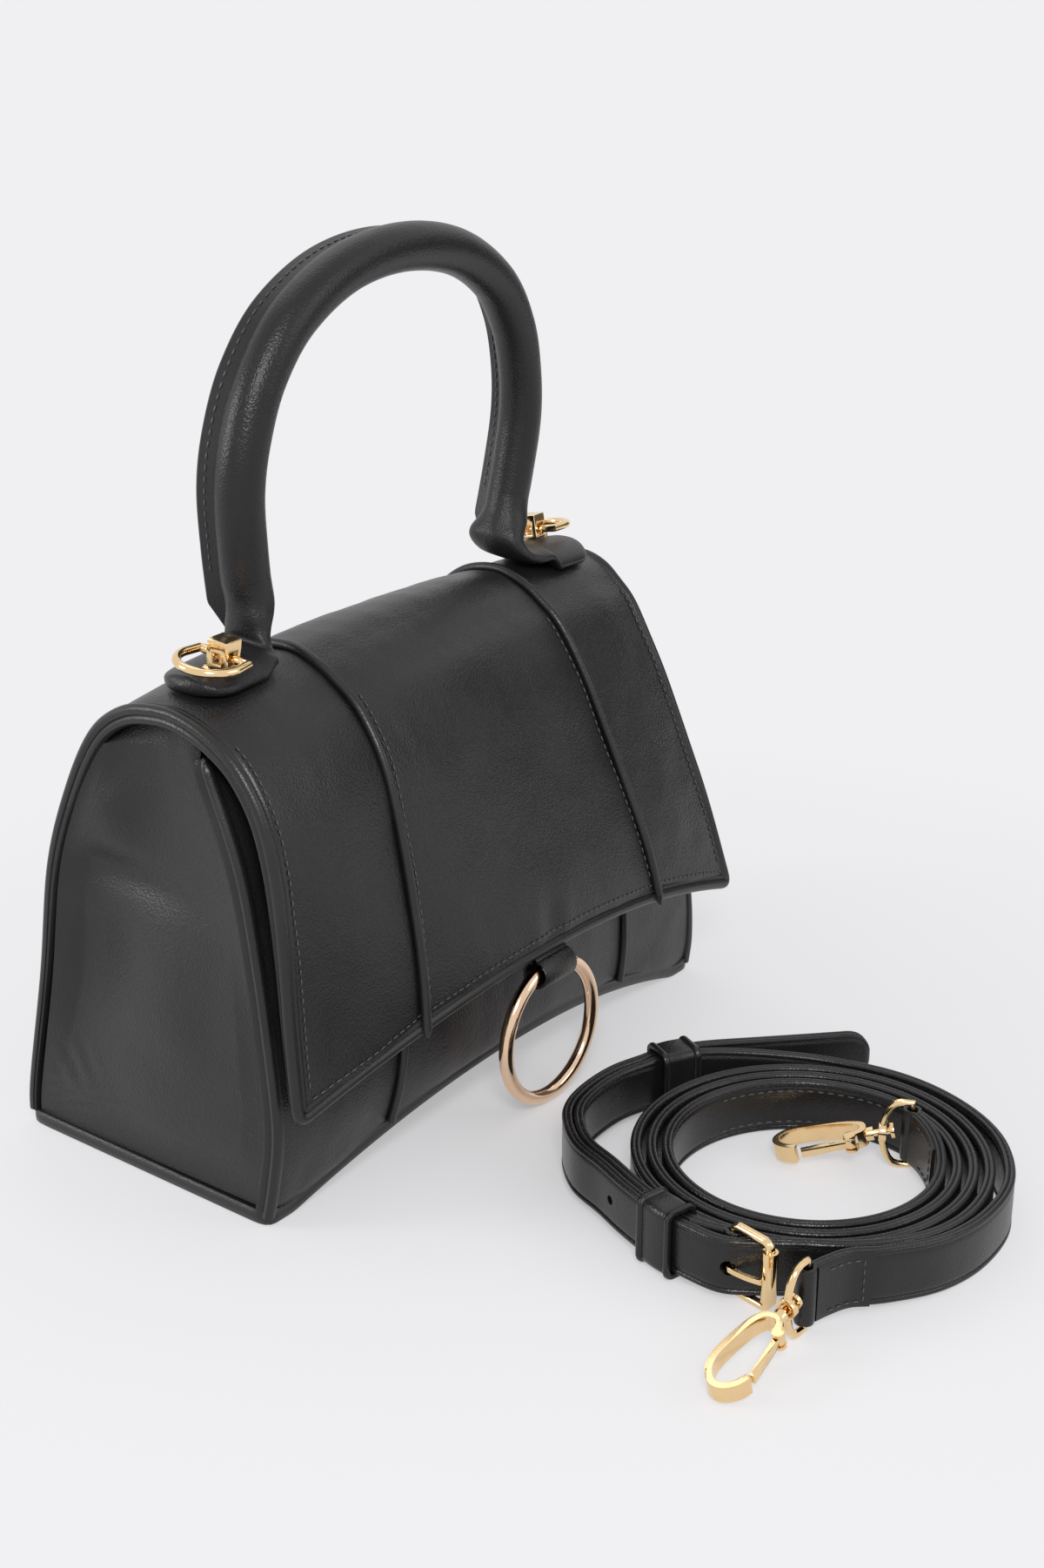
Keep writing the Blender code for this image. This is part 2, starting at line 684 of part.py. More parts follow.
half_line = smooth([(-w * handle_half, h * HANDLE_RISE) for w, h in HANDLE_SHARES], HANDLE_STEPS)
handle_line = [Vector(p) for p in half_line] + [Vector((-p[0], p[1])) for p in half_line[-2::-1]]
handle_points = [handle_middle + handle_x * p.x + handle_up * p.y for p in handle_line]


def hose(name, centres, outer, inner, surface, parent, sides=12):
    """A hose along the centres: ring by ring outside, and back inside when it has a bore."""
    shape = bmesh.new()
    count = len(centres)
    rings = []
    for radii, order in ((outer, range(count)), (inner, range(count - 1, -1, -1))):
        if radii is None:
            continue
        for i in order:
            ahead = (centres[min(i + 1, count - 1)] - centres[max(i - 1, 0)]).normalized()
            second = ahead.cross(handle_back).normalized()
            ring = []
            for k in range(sides):
                angle = 2 * math.pi * k / sides
                out = handle_back * math.cos(angle) + second * math.sin(angle)
                ring.append(shape.verts.new(centres[i] + out * radii[i]))
            rings.append(ring)
    loops = list(zip(rings, rings[1:] + ([rings[0]] if inner is not None else [])))
    for first, then in loops:
        for k in range(sides):
            shape.faces.new((first[k], first[k - 1], then[k - 1], then[k]))
    if inner is None:
        for ring in (rings[0], rings[-1]):
            shape.faces.new(ring)
    bmesh.ops.recalc_face_normals(shape, faces=shape.faces[:])
    return place(from_bmesh(name, shape, surface), parent)


def ball_ended(points, radius, least):
    """Centres and radii of a tube whose two ends are rounded down to the least radius."""
    down = (points[1] - points[0]).normalized(), (points[-2] - points[-1]).normalized()
    steep = [math.asin(least / radius) + (math.pi / 2 - math.asin(least / radius)) * t for t in shares(4)]
    ends = [(-radius * math.cos(a), radius * math.sin(a)) for a in steep[:-1]]
    centres = [points[0] + down[0] * s for s, _ in ends] + list(points)
    centres += [points[-1] + down[1] * s for s, _ in ends[::-1]]
    return centres, [r for _, r in ends] + [radius] * len(points) + [r for _, r in ends[::-1]]


centres, outer = ball_ended(handle_points, HANDLE_RADIUS, HANDLE_RADIUS * 0.4)
inner = [max(r - HANDLE_WALL, HANDLE_RADIUS * 0.15) for r in outer]
hose("handle_cover", centres, outer, inner, LEATHER_BLACK, handle)
core_radius = HANDLE_RADIUS - HANDLE_WALL - SEAM_GAP
centres, outer = ball_ended(handle_points[1:-1], core_radius, core_radius * 0.5)
hose("handle_core", centres, outer, None, FOAM, handle, sides=10)

# The stitched edge strip along the back of the handle.
handle_steps = [(b - a).length for a, b in zip(handle_points, handle_points[1:])]
line_arcs = np.concatenate([[0.0], np.cumsum(handle_steps)])


def along_handle(share):
    arc = share * line_arcs[-1]
    return Vector([np.interp(arc, line_arcs, [p[i] for p in handle_points]) for i in range(3)])


def welt_shape(u, v):
    share = mix(WELT_END_SHARE, 1 - WELT_END_SHARE, v)
    step = 0.01
    ahead = (along_handle(min(share + step, 1.0)) - along_handle(max(share - step, 0.0))).normalized()
    side = ahead.cross(handle_back).normalized()
    reach = HANDLE_RADIUS + SEAM_GAP + WELT_WIDTH * u
    return along_handle(share) + handle_back * reach + side * WELT_THICK / 2


sheet("handle_welt", welt_shape, shares(1), shares(40), WELT_THICK, LEATHER_BLACK,
      (along_handle(0.51) - along_handle(0.49)).cross(handle_back), handle)

# Posts, D-rings and rivets on the tabs.
for side, sign in (("left", -1), ("right", 1)):
    arc = CROWN_ARC[sign] + POST_FORWARD[sign]
    seat = OVER.at(sign * POST_OUT, arc, -TAB_TOP - BASE_GAP)
    up = OVER.outward(sign * POST_OUT, arc)
    step = OVER.at(sign * POST_OUT + FOOT_BACK, arc) - OVER.at(sign * POST_OUT - FOOT_BACK, arc)
    along = step.normalized()
    back = up.cross(along).normalized()
    along = back.cross(up).normalized()
    frame = Matrix((along, back, up)).transposed().to_4x4()
    frame.translation = seat
    body = as_mesh(bpy.data.objects.new("post", tool("post_block", box(
        (POST_SIZE, POST_SIZE, POST_HEIGHT), frame @ Matrix.Translation((0, 0, POST_HEIGHT / 2)))).data))
    body.materials.append(PALE_GOLD)
    post = solid(f"post_{side}", body, bag)
    window_middle = Matrix.Translation((0, 0, POST_PLATE + POST_WINDOW / 2))
    side_window = POST_WINDOW * POST_SIDE_SHARE
    for axis, size in (("along", (2 * POST_SIZE, side_window, side_window)),
                       ("across", (POST_WINDOW, 2 * POST_SIZE, POST_WINDOW))):
        combine(post, tool(f"post_window_{axis}_{side}", box(size, frame @ window_middle)), "DIFFERENCE")
    axis_frame = frame @ Matrix.Translation((0, 0, DRING_LIFT))
    swing = empty(f"dring_axis_{side}", axis_frame, bag)
    ring_line = [Vector((0, DRING_WIDTH / 2 * t, 0)) for t in (-1, -0.5, 0, 0.5, 1)]
    for i in range(1, 12):
        turn = math.pi * (0.5 - i / 12)
        ring_line.append(Vector((
            sign * (DRING_REACH - DRING_WIDTH / 2 + DRING_WIDTH / 2 * math.cos(turn)),
            DRING_WIDTH / 2 * math.sin(turn), 0)))
    tube(f"dring_{side}", [axis_frame @ p for p in ring_line], DRING_WIRE, PALE_GOLD, swing, closed=True)
    ball = bmesh.new()
    rivet_out = sign * (POST_OUT + RIVET_OUT)
    place_at = Matrix.Translation(OVER.at(rivet_out, arc, -TAB_TOP - SEAM_GAP - RIVET_RADIUS))
    bmesh.ops.create_uvsphere(ball, u_segments=14, v_segments=9, radius=RIVET_RADIUS, matrix=place_at)
    place(from_bmesh(f"rivet_{side}", ball, PALE_GOLD), bag)

# Ring pull: a leather loop under the middle of the flap's edge, and the ring that swings in it.
edge_point = OVER.at(0.0, OVER.falling(0.0, flap_edge(0.0)), FLAP_THICK / 2)
ring_radius = RING_SHARE * flap_edge(0.0)
ring_centre = Vector((0.0, edge_point.y, RING_CENTRE_SHARE * flap_edge(0.0)))
ring_top = ring_centre.z + ring_radius
ring_sag = ring_radius - math.sqrt(ring_radius**2 - (LOOP_WIDTH / 2) ** 2)
loop_middle = Vector((edge_point.y, ring_top - ring_sag / 2))
ring_axis = empty("ring_axis", Matrix.Translation((0.0, *loop_middle)), flap)
ring_points = [
    ring_centre + ring_radius * Vector((math.sin(a), 0.0, math.cos(a)))
    for a in (2 * math.pi * k / RING_STEPS for k in range(RING_STEPS))
]
tube("ring", ring_points, RING_WIRE, ROSE_GOLD, ring_axis, closed=True)

loop_bore = RING_WIRE + ring_sag / 2 + RING_CLEAR
loop_outer = loop_bore + LOOP_THICK


def offset_line(line, distance):
    """The line of points moved sideways, to its left for a positive distance."""
    moved = []
    for i, point in enumerate(line):
        ahead = line[min(i + 1, len(line) - 1)] - line[max(i - 1, 0)]
        moved.append(point + Vector((-ahead.y, ahead.x)).normalized() * distance)
    return moved


def eyed_outline(line, half, start_eye, end_eye):
    """Outline of a strip along the line, with a round eye of the given radius at either end."""
    drawn = []
    for run, near_eye, far_eye in ((line, start_eye, end_eye), (line[::-1], end_eye, start_eye)):
        kept = [
            p for p in offset_line(run, half)
            if (p - run[0]).length > (near_eye or 0.0) and (p - run[-1]).length > (far_eye or 0.0)
        ]
        drawn += kept
        if far_eye:
            centre = run[-1]
            behind = [p for p in run if (p - centre).length > far_eye][-1]
            facing = math.atan2(centre.y - behind.y, centre.x - behind.x)
            spread = math.pi - math.asin(half / far_eye)
            drawn += [
                centre + far_eye * Vector((math.cos(a), math.sin(a)))
                for a in (facing + spread * (1 - 2 * t) for t in shares(16))
            ]
    return drawn


def circle(centre, radius, count=14):
    return [
        centre + radius * Vector((math.cos(a), math.sin(a)))
        for a in (2 * math.pi * k / count for k in range(count))
    ]


# The loop is drawn in a plane whose axes are Y and Z of the bag.
inner_face = FLAP_THICK + BASE_GAP + LOOP_THICK
tail_low = OVER.at(0.0, OVER.falling(0.0, flap_edge(0.0) + CORD_TAIL), inner_face)
tail_high = OVER.at(0.0, OVER.falling(0.0, flap_edge(0.0) + CORD_TAIL + LOOP_TAIL), inner_face)
bend = Vector((max(tail_low.y, edge_point.y + PIPE_RADIUS + LOOP_THICK + SEAM_GAP), edge_point.z))
loop_line = [Vector((tail_high.y, tail_high.z)), Vector((tail_low.y, tail_low.z)), bend, loop_middle]
loop_line = [Vector(p) for p in smooth([tuple(p) for p in loop_line], 4)]
loop_shape = outline("ring_loop", [
    eyed_outline(loop_line, LOOP_THICK, None, loop_outer),
    circle(loop_middle, loop_bore, 20),
], LOOP_WIDTH / 2, LEATHER_BLACK)
solid("ring_loop", as_mesh(loop_shape, Matrix(((0, 0, 1, 0), (1, 0, 0, 0), (0, 1, 0, 0), (0, 0, 0, 1)))), flap)

# Magnetic snap: a disc on the front panel and one under the flap, where the flap lies closest to it.
snap_height = BAG_HEIGHT * SNAP_HEIGHT_SHARE
front_arc, flap_arc = FRONT.falling(0.0, snap_height), OVER.falling(0.0, snap_height)
front_facing, flap_facing = FRONT.outward(0.0, front_arc), OVER.outward(0.0, flap_arc)
snap_thick = BAG_DEPTH * SNAP_THICK_SHARE
for name, centre, facing, parent in (
    ("snap_socket", FRONT.at(0.0, front_arc, -BASE_GAP - snap_thick / 2), front_facing, bag),
    ("snap_stud", OVER.at(0.0, flap_arc, FLAP_THICK + BASE_GAP + snap_thick / 2), flap_facing, flap),
):
    turn = Vector((0, 0, 1)).rotation_difference(facing).to_matrix().to_4x4()
    disc = cylinder(SNAP_RADIUS, snap_thick, Matrix.Translation(centre) @ turn, 24)
    place(from_bmesh(name, disc, STEEL), parent)


# Shoulder strap: one long strap wound round and round, ending in a tail that passes the buckle, and a
# short strap outside it that carries the buckle. Angles run on through the turns.
LAYER = STRAP_THICK + STRAP_GAP
PITCH = STRAP_THICK + COIL_GAP
coil_middle = Vector((COIL_X, COIL_Y))


def coil_point(turn, layers=0.0):
    """Point beside the winding at this angle, the given number of strap layers further out."""
    radius = COIL_FIRST_RADIUS - PITCH * (turn - COIL_START) / (2 * math.pi) + LAYER * layers
    return coil_middle + radius * Vector((math.cos(turn), math.sin(turn)))


def ease(t):
    t = min(1.0, max(0.0, t))
    return t * t * (3 - 2 * t)


tail_line = smooth([tuple(coil_point(math.radians(a), k)) for a, k in TAIL_LAYERS], TAIL_STEPS)
tail_line = [Vector(p) for p in tail_line]
tail_turns = np.interp(
    np.arange(len(tail_line)) / TAIL_STEPS, range(len(TAIL_LAYERS)), [a for a, _ in TAIL_LAYERS])
turn_count = round((COIL_END - COIL_START) / COIL_STEP)
wound_turns = [mix(COIL_START, COIL_END, t) for t in shares(turn_count)]
long_line = tail_line + [coil_point(turn) for turn in wound_turns]
long_lift = [mix(TIP_LIFT_SHARE, 1.0, ease((a - TAIL_LAYERS[0][0]) / LIFT_SPAN)) for a in tail_turns]
long_lift += [
    1.0 - ease(math.degrees(turn - COIL_START) / LIFT_SPAN)
    + END_LIFT_SHARE * ease(1.0 - math.degrees(COIL_END - turn) / LIFT_SPAN)
    for turn in wound_turns
]

under_tail = offset_line(tail_line, LAYER)
shared = [i for i, a in enumerate(tail_turns) if SHARED_START <= a <= SHARED_END]
first, last = shared[0], shared[-1]
bar = coil_point(math.radians(BUCKLE_TURN), BUCKLE_LAYERS)
approach = [coil_point(math.radians(a), k) for a, k in SHORT_LAYERS]
approach += [under_tail[first], under_tail[first + TAIL_STEPS]]
approach = smooth([tuple(p) for p in approach], TAIL_STEPS)
arrival = smooth([tuple(p) for p in (under_tail[last - TAIL_STEPS], under_tail[last], bar)], TAIL_STEPS)
short_line = [Vector(p) for p in approach[: -TAIL_STEPS - 1]]
short_line += under_tail[first : last + 1] + [Vector(p) for p in arrival[TAIL_STEPS + 1 :]]
short_turns = [math.degrees(math.atan2(p.y - COIL_Y, p.x - COIL_X)) % 360 for p in short_line]
short_turns = [a if a > SHORT_LAYERS[0][0] - 5 and i < len(short_line) / 2 else a + 360
               for i, a in enumerate(short_turns)]
short_lift = [
    END_LIFT_SHARE * (1.0 - ease((a - SHORT_LAYERS[0][0]) / LIFT_SPAN))
    + ease(1.0 - (SHARED_START - a) / LIFT_SPAN)
    for a in short_turns
]


def strap(name, line, lift, eyes, tip):
    """A strap standing on its edge along the line, lifted off the ground where the metal parts hold it."""
    mesh = as_mesh(outline(name, [eyed_outline(line, STRAP_THICK / 2, *eyes)], STRAP_WIDTH / 2, LEATHER_BLACK))
    spots = np.array([tuple(p) for p in line])
    arcs = np.concatenate([[0.0], np.cumsum(np.hypot(*np.diff(spots, axis=0).T))])
    for vertex in mesh.vertices:
        i = int(np.argmin(np.hypot(spots[:, 0] - vertex.co.x, spots[:, 1] - vertex.co.y)))
        round_off = 1.0 - min(1.0, arcs[i] / (STRAP_WIDTH / 2)) if tip else 0.0
        height = STRAP_WIDTH / 2 * max(TIP_BLUNT_SHARE, math.sqrt(1 - round_off * round_off))
        vertex.co.z = STRAP_LIFT * lift[i] + STRAP_WIDTH / 2 + math.copysign(height, vertex.co.z)
    return solid(name, mesh, bag)


def least_gap(first, second, apart):
    a, b = np.array([tuple(p) for p in first]), np.array([tuple(p) for p in second])
    distance = np.hypot(a[:, None, 0] - b[None, :, 0], a[:, None, 1] - b[None, :, 1])
    if apart:
        arcs = np.concatenate([[0.0], np.cumsum(np.hypot(*np.diff(a, axis=0).T))])
        distance[np.abs(arcs[:, None] - arcs[None, :]) < apart] = np.inf
    return distance.min() - STRAP_THICK


eye_bore = EYE_WIRE + EYE_CLEAR
eye_outer = eye_bore + EYE_WALL
bar_bore = BUCKLE_WIRE + EYE_CLEAR
bar_eye = bar_bore + EYE_WALL
strap_long = strap("strap_long", long_line, long_lift, (None, eye_outer), True)
strap_short = strap("strap_short", short_line, short_lift, (eye_outer, bar_eye), False)
print("least gap in the coil", round(least_gap(long_line, long_line, 4 * COIL_FIRST_RADIUS), 5),
      "between straps", round(least_gap(long_line, short_line, 0.0), 5))


def upright(x, y):
    return Matrix.Translation((x, y, 0.0))


def through(point, direction, height):
    """A place at the point with its z axis along the level direction."""
    ahead = Vector((*direction, 0.0)).normalized()
    up = Vector((0, 0, 1))
    made = Matrix((up.cross(ahead), up, ahead)).transposed().to_4x4()
    made.translation = Vector((*point, height))
    return made


strap_middle = STRAP_LIFT + STRAP_WIDTH / 2
for made, centre, bore in (
    (strap_long, long_line[-1], eye_bore),
    (strap_short, short_line[0], eye_bore),
    (strap_short, short_line[-1], bar_bore),
):
    cut = cylinder(bore, 2 * STRAP_WIDTH, upright(*centre) @ Matrix.Translation((0, 0, strap_middle)))
    combine(made, tool(f"{made.name}_bore", cut), "DIFFERENCE")

# Buckle: a wire frame whose bar sits in the short strap's eye, a roller on its far side, and a prong.
bar_turn = math.radians(BUCKLE_TURN) + math.pi / 2 - BUCKLE_SPLAY
ahead = Vector((math.cos(bar_turn), math.sin(bar_turn)))
aside = Vector((-ahead.y, ahead.x))
buckle_frame = Matrix((
    (ahead.x, aside.x, 0, bar.x), (ahead.y, aside.y, 0, bar.y), (0, 0, 1, strap_middle), (0, 0, 0, 1)
))
half = STRAP_WIDTH / 2 + BUCKLE_ROOM
corner = BUCKLE_WIRE
wire = []
for x, z, turn_x, turn_z in (
    (0, -half, 0, 1), (BUCKLE_REACH, -half, -1, 0), (BUCKLE_REACH, half, 0, -1), (0, half, 1, 0),
):
    wire.append(Vector((x + turn_x * corner, 0, z + turn_z * corner)))
    wire.append(Vector((x + turn_z * corner, 0, z - turn_x * corner)))
tube("buckle_frame", [buckle_frame @ p for p in wire], BUCKLE_WIRE, PALE_GOLD, bag, closed=True)
roller_place = buckle_frame @ Matrix.Translation((BUCKLE_REACH, 0, 0))
roller_axis = empty("roller_axis", roller_place, bag)
roller = place(from_bmesh("buckle_roller", cylinder(ROLLER_RADIUS, STRAP_WIDTH - BUCKLE_ROOM, roller_place, 24),
                          PALE_GOLD), roller_axis)
combine(roller, tool("roller_bore", cylinder(bar_bore, 2 * STRAP_WIDTH, roller_place, 24)), "DIFFERENCE")
prong_axis = empty("prong_axis", buckle_frame, bag)
prong_rows = [(x * BUCKLE_REACH, y * BUCKLE_REACH) for x, y in PRONG_SHARES]
prong_line = [Vector(p) for p in smooth([(0.0, 0.0), *prong_rows], 4)]
prong_eye = bar_bore + 2 * PRONG_WIRE
prong = outline("buckle_prong", [
    eyed_outline(prong_line, PRONG_WIRE, prong_eye, None), circle(Vector((0, 0)), bar_bore),
], PRONG_WIRE, PALE_GOLD)
solid("buckle_prong", as_mesh(prong, buckle_frame), prong_axis)
slot_size = 2 * (prong_eye + PRONG_ROOM)
combine(strap_short, tool("prong_slot", box((slot_size, slot_size, PRONG_SLOT), buckle_frame)), "DIFFERENCE")

# Holes in the tail: the prong's own, and the spare ones towards the tip.
prong_path = [(buckle_frame @ Vector((p.x, p.y, 0.0))).xy for p in prong_line]
crossing, hole_start = min(
    ((i, j) for i in range(1, len(prong_path) - 1) for j in range(1, len(tail_line) - 1)),
    key=lambda pair: (prong_path[pair[0]] - tail_line[pair[1]]).length,
)
tail_arcs = np.concatenate([[0.0], np.cumsum([(b - a).length for a, b in zip(tail_line, tail_line[1:])])])
for k in range(HOLE_COUNT):
    arc = tail_arcs[hole_start] - k * HOLE_SPACING
    i = int(np.argmin(np.abs(tail_arcs - arc)))
    direction = tail_line[i + 1] - tail_line[i - 1]
    spot, side, radius = tail_line[i], Vector((-direction.y, direction.x)), HOLE_RADIUS
    if k == 0:
        spot, side = prong_path[crossing], prong_path[crossing + 1] - prong_path[crossing - 1]
        radius = PRONG_HOLE_RADIUS
    cut = cylinder(radius, 3 * STRAP_THICK, through(spot, side, strap_middle), 16)
    combine(strap_long, tool(f"strap_hole_{k}", cut), "DIFFERENCE")

# Keepers: leather loops round both straps, one sewn to the short strap and one that slides.
bow = (KEEPER_LENGTH / 2) ** 2 / (2 * COIL_FIRST_RADIUS)
for name, turn, slack in (("keeper_fixed", FIXED_KEEPER, bow), ("keeper_sliding", LOOSE_KEEPER, KEEPER_SLACK)):
    i = int(np.argmin(np.abs(tail_turns - turn)))
    direction = (tail_line[i + 1] - tail_line[i - 1]).normalized()
    side = Vector((-direction.y, direction.x))
    centre = tail_line[i] + side * (LAYER + slack) / 2
    keeper_frame = Matrix((
        (side.x, 0, direction.x, centre.x), (side.y, 0, direction.y, centre.y),
        (0, 1, 0, strap_middle), (0, 0, 0, 1),
    ))
    across, tall = LAYER / 2 + STRAP_THICK / 2 + KEEPER_CLEAR + slack / 2, STRAP_WIDTH / 2 + KEEPER_CLEAR
    loops = [
        [Vector((sx * (across + wall), sz * (tall + wall))) for sx, sz in ((-1, -1), (1, -1), (1, 1), (-1, 1))]
        for wall in (KEEPER_WALL, 0.0)
    ]
    parent = bag
    if name == "keeper_sliding":
        parent = empty("keeper_axis", keeper_frame, bag)
    solid(name, as_mesh(outline(name, loops, KEEPER_LENGTH / 2, LEATHER_BLACK), keeper_frame), parent)

# Snap hooks: a wire loop hinged in each strap end, a swivelling hook and its spring gate.
for name, end, turn in (("near", short_line[0], NEAR_TURN), ("far", long_line[-1], FAR_TURN)):
    middle = STRAP_LIFT * END_LIFT_SHARE + STRAP_WIDTH / 2
    loop_frame = Matrix.Translation((*end, middle)) @ Matrix.Rotation(turn, 4, "Z")
    loop_axis = empty(f"{name}_loop_axis", loop_frame, bag)
    bow = STRAP_WIDTH / 2 + BOW_ROOM
    rows = [(0, -bow), (0, bow), (BOW_STRAIGHT_SHARE * BOW_REACH, bow)]
    for i in range(1, 10):
        angle = math.pi * (0.5 - i / 10)
        rows.append((BOW_REACH * (BOW_STRAIGHT_SHARE + (1 - BOW_STRAIGHT_SHARE) * math.cos(angle)),
                     bow * math.sin(angle)))
    rows.append((BOW_STRAIGHT_SHARE * BOW_REACH, -bow))
    wire = tube(f"{name}_loop_wire", [Vector((x, 0, z)) for x, z in rows], EYE_WIRE, PALE_GOLD, closed=True,
                linked=False)
    loop = solid(f"hook_{name}_loop", as_mesh(wire, loop_frame), loop_axis)
    apex = loop_frame @ Matrix.Translation((BOW_REACH, 0, 0)) @ Matrix.Rotation(math.pi / 2, 4, "Y")
    combine(loop, tool(f"{name}_boss", cylinder(BOSS_RADIUS, BOSS_LENGTH, apex)), "UNION")
    combine(loop, tool(f"{name}_boss_bore", cylinder(BOSS_BORE, 3 * BOSS_LENGTH, apex)), "DIFFERENCE")

    hook_frame = loop_frame @ Matrix.Translation((BOW_REACH, 0, 0)) @ Matrix.Rotation(HOOK_TILT, 4, "Y")
    swivel = empty(f"{name}_swivel_axis", hook_frame, loop_axis)
    rows = [(x * HOOK_LENGTH, y * HOOK_HALF_WIDTH) for x, y in HOOK_SHARES]
    band = [Vector(p) for p in smooth(rows, HOOK_STEPS)]
    hinge = band[0]
    strip = eyed_outline(band, HOOK_BAND / 2, LUG_RADIUS, None)
    hook = solid(f"hook_{name}_body", as_mesh(outline("hook", [strip], HOOK_HEIGHT / 2, PALE_GOLD), hook_frame),
                 swivel)
    start = BOSS_LENGTH / 2 + HEAD_CLEAR
    stem = bmesh.new()
    rings = [
        (-start - HEAD_THICK, HEAD_RADIUS), (-start, HEAD_RADIUS), (-start, STEM_RADIUS), (start, STEM_RADIUS),
        (start, COLLAR_RADIUS), (HOOK_BASE_SHARE * HOOK_LENGTH, COLLAR_RADIUS),
    ]
    verts = [
        [stem.verts.new(hook_frame @ Vector((x, r * math.cos(a), r * math.sin(a))))
         for a in (2 * math.pi * k / 20 for k in range(20))]
        for x, r in rings
    ]
    for first, then in zip(verts, verts[1:]):
        for k in range(20):
            stem.faces.new((first[k], first[k - 1], then[k - 1], then[k]))
    for ring in (verts[0], verts[-1]):
        stem.faces.new(ring)
    bmesh.ops.recalc_face_normals(stem, faces=stem.faces[:])
    combine(hook, tool(f"{name}_stem", stem), "UNION")
    hinge_place = hook_frame @ Matrix.Translation((hinge.x, hinge.y, 0))
    gate_half = HOOK_HEIGHT * GATE_SHARE / 2
    clear = 2 * (LUG_RADIUS + GATE_GAP)
    combine(hook, tool(f"{name}_gate_slot", box((clear, clear, 2 * (gate_half + GATE_GAP)), hinge_place)),
            "DIFFERENCE")
    combine(hook, tool(f"{name}_gate_pin", cylinder(PIN_RADIUS, HOOK_HEIGHT - LUG_SKIN, hinge_place)), "UNION")

    gate_axis = empty(f"{name}_gate_axis", hinge_place, swivel)
    nose = band[-1]
    reach = nose - hinge
    tip = hinge + reach * (1 - (HOOK_BAND * 0.5 + GATE_GAP) / reach.length)
    gate_line = [hinge.lerp(tip, t) for t in shares(6)]
    gate = outline("gate", [
        eyed_outline(gate_line, GATE_THICK / 2, PIN_RADIUS + GATE_GAP + GATE_WALL, None),
        circle(hinge, PIN_RADIUS + GATE_GAP),
    ], gate_half, PALE_GOLD)
    solid(f"hook_{name}_gate", as_mesh(gate, hook_frame), gate_axis)

# Move the set so that the frame's origin is the middle of the underside of its bounding box.
bpy.context.view_layer.update()
depsgraph = bpy.context.evaluated_depsgraph_get()
low, high = np.full(3, np.inf), np.full(3, -np.inf)
for made in set_collection.objects:
    if made.type == "EMPTY":
        continue
    shown = made.evaluated_get(depsgraph)
    mesh = shown.to_mesh()
    spots = np.array([tuple(shown.matrix_world @ v.co) for v in mesh.vertices])
    low, high = np.minimum(low, spots.min(axis=0)), np.maximum(high, spots.max(axis=0))
    shown.to_mesh_clear()
bag.location = (-(low[0] + high[0]) / 2, -(low[1] + high[1]) / 2, -low[2])
bpy.context.view_layer.update()
print("set size", np.round(high - low, 5).tolist(), "moved", [round(v, 5) for v in bag.location])
for made in set_collection.objects:
    if made.type == "EMPTY":
        spot = made.matrix_world
        print(made.name, "at", [round(v, 5) for v in spot.translation],
              "x", [round(v, 4) for v in spot.col[0][:3]], "y", [round(v, 4) for v in spot.col[1][:3]],
              "z", [round(v, 4) for v in spot.col[2][:3]])
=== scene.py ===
import json
import math

import bpy
import numpy as np
from mathutils import Matrix, Vector


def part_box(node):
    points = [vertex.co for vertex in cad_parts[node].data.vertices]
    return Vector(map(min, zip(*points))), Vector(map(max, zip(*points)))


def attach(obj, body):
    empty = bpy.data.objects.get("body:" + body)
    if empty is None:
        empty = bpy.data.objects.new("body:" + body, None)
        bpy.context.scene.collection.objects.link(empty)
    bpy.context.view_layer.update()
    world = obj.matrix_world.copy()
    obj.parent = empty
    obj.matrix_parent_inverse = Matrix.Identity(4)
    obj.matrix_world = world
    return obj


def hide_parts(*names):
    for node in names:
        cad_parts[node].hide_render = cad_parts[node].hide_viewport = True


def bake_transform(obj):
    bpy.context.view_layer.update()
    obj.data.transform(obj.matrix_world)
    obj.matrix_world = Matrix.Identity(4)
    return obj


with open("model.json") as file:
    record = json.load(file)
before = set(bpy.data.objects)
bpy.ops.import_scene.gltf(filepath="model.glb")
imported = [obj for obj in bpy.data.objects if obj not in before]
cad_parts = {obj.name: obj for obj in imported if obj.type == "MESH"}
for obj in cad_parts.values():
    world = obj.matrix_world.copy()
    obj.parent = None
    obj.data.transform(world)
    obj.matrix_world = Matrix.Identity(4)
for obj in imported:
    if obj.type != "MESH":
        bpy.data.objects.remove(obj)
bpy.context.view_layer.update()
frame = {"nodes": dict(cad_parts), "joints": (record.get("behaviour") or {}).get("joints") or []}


# Camera: a studio camera at the bag's left front corner, looking down at twenty degrees.
# Its lens is as long as the photograph's framing needs, with no shift and no depth of field.
look_back = Vector((-0.7441, -0.5703, 0.3481))
camera = bpy.data.objects.new("camera", bpy.data.cameras.new("camera"))
bpy.context.scene.collection.objects.link(camera)
bpy.context.scene.camera = camera
camera.location = (-0.5179, -0.3680, 0.3570)
camera.rotation_mode = "QUATERNION"
camera.rotation_quaternion = (-look_back).to_track_quat("-Z", "Y")
camera.data.lens = 47.95
camera.data.clip_start = 0.01
bpy.context.scene.view_settings.view_transform = "Standard"


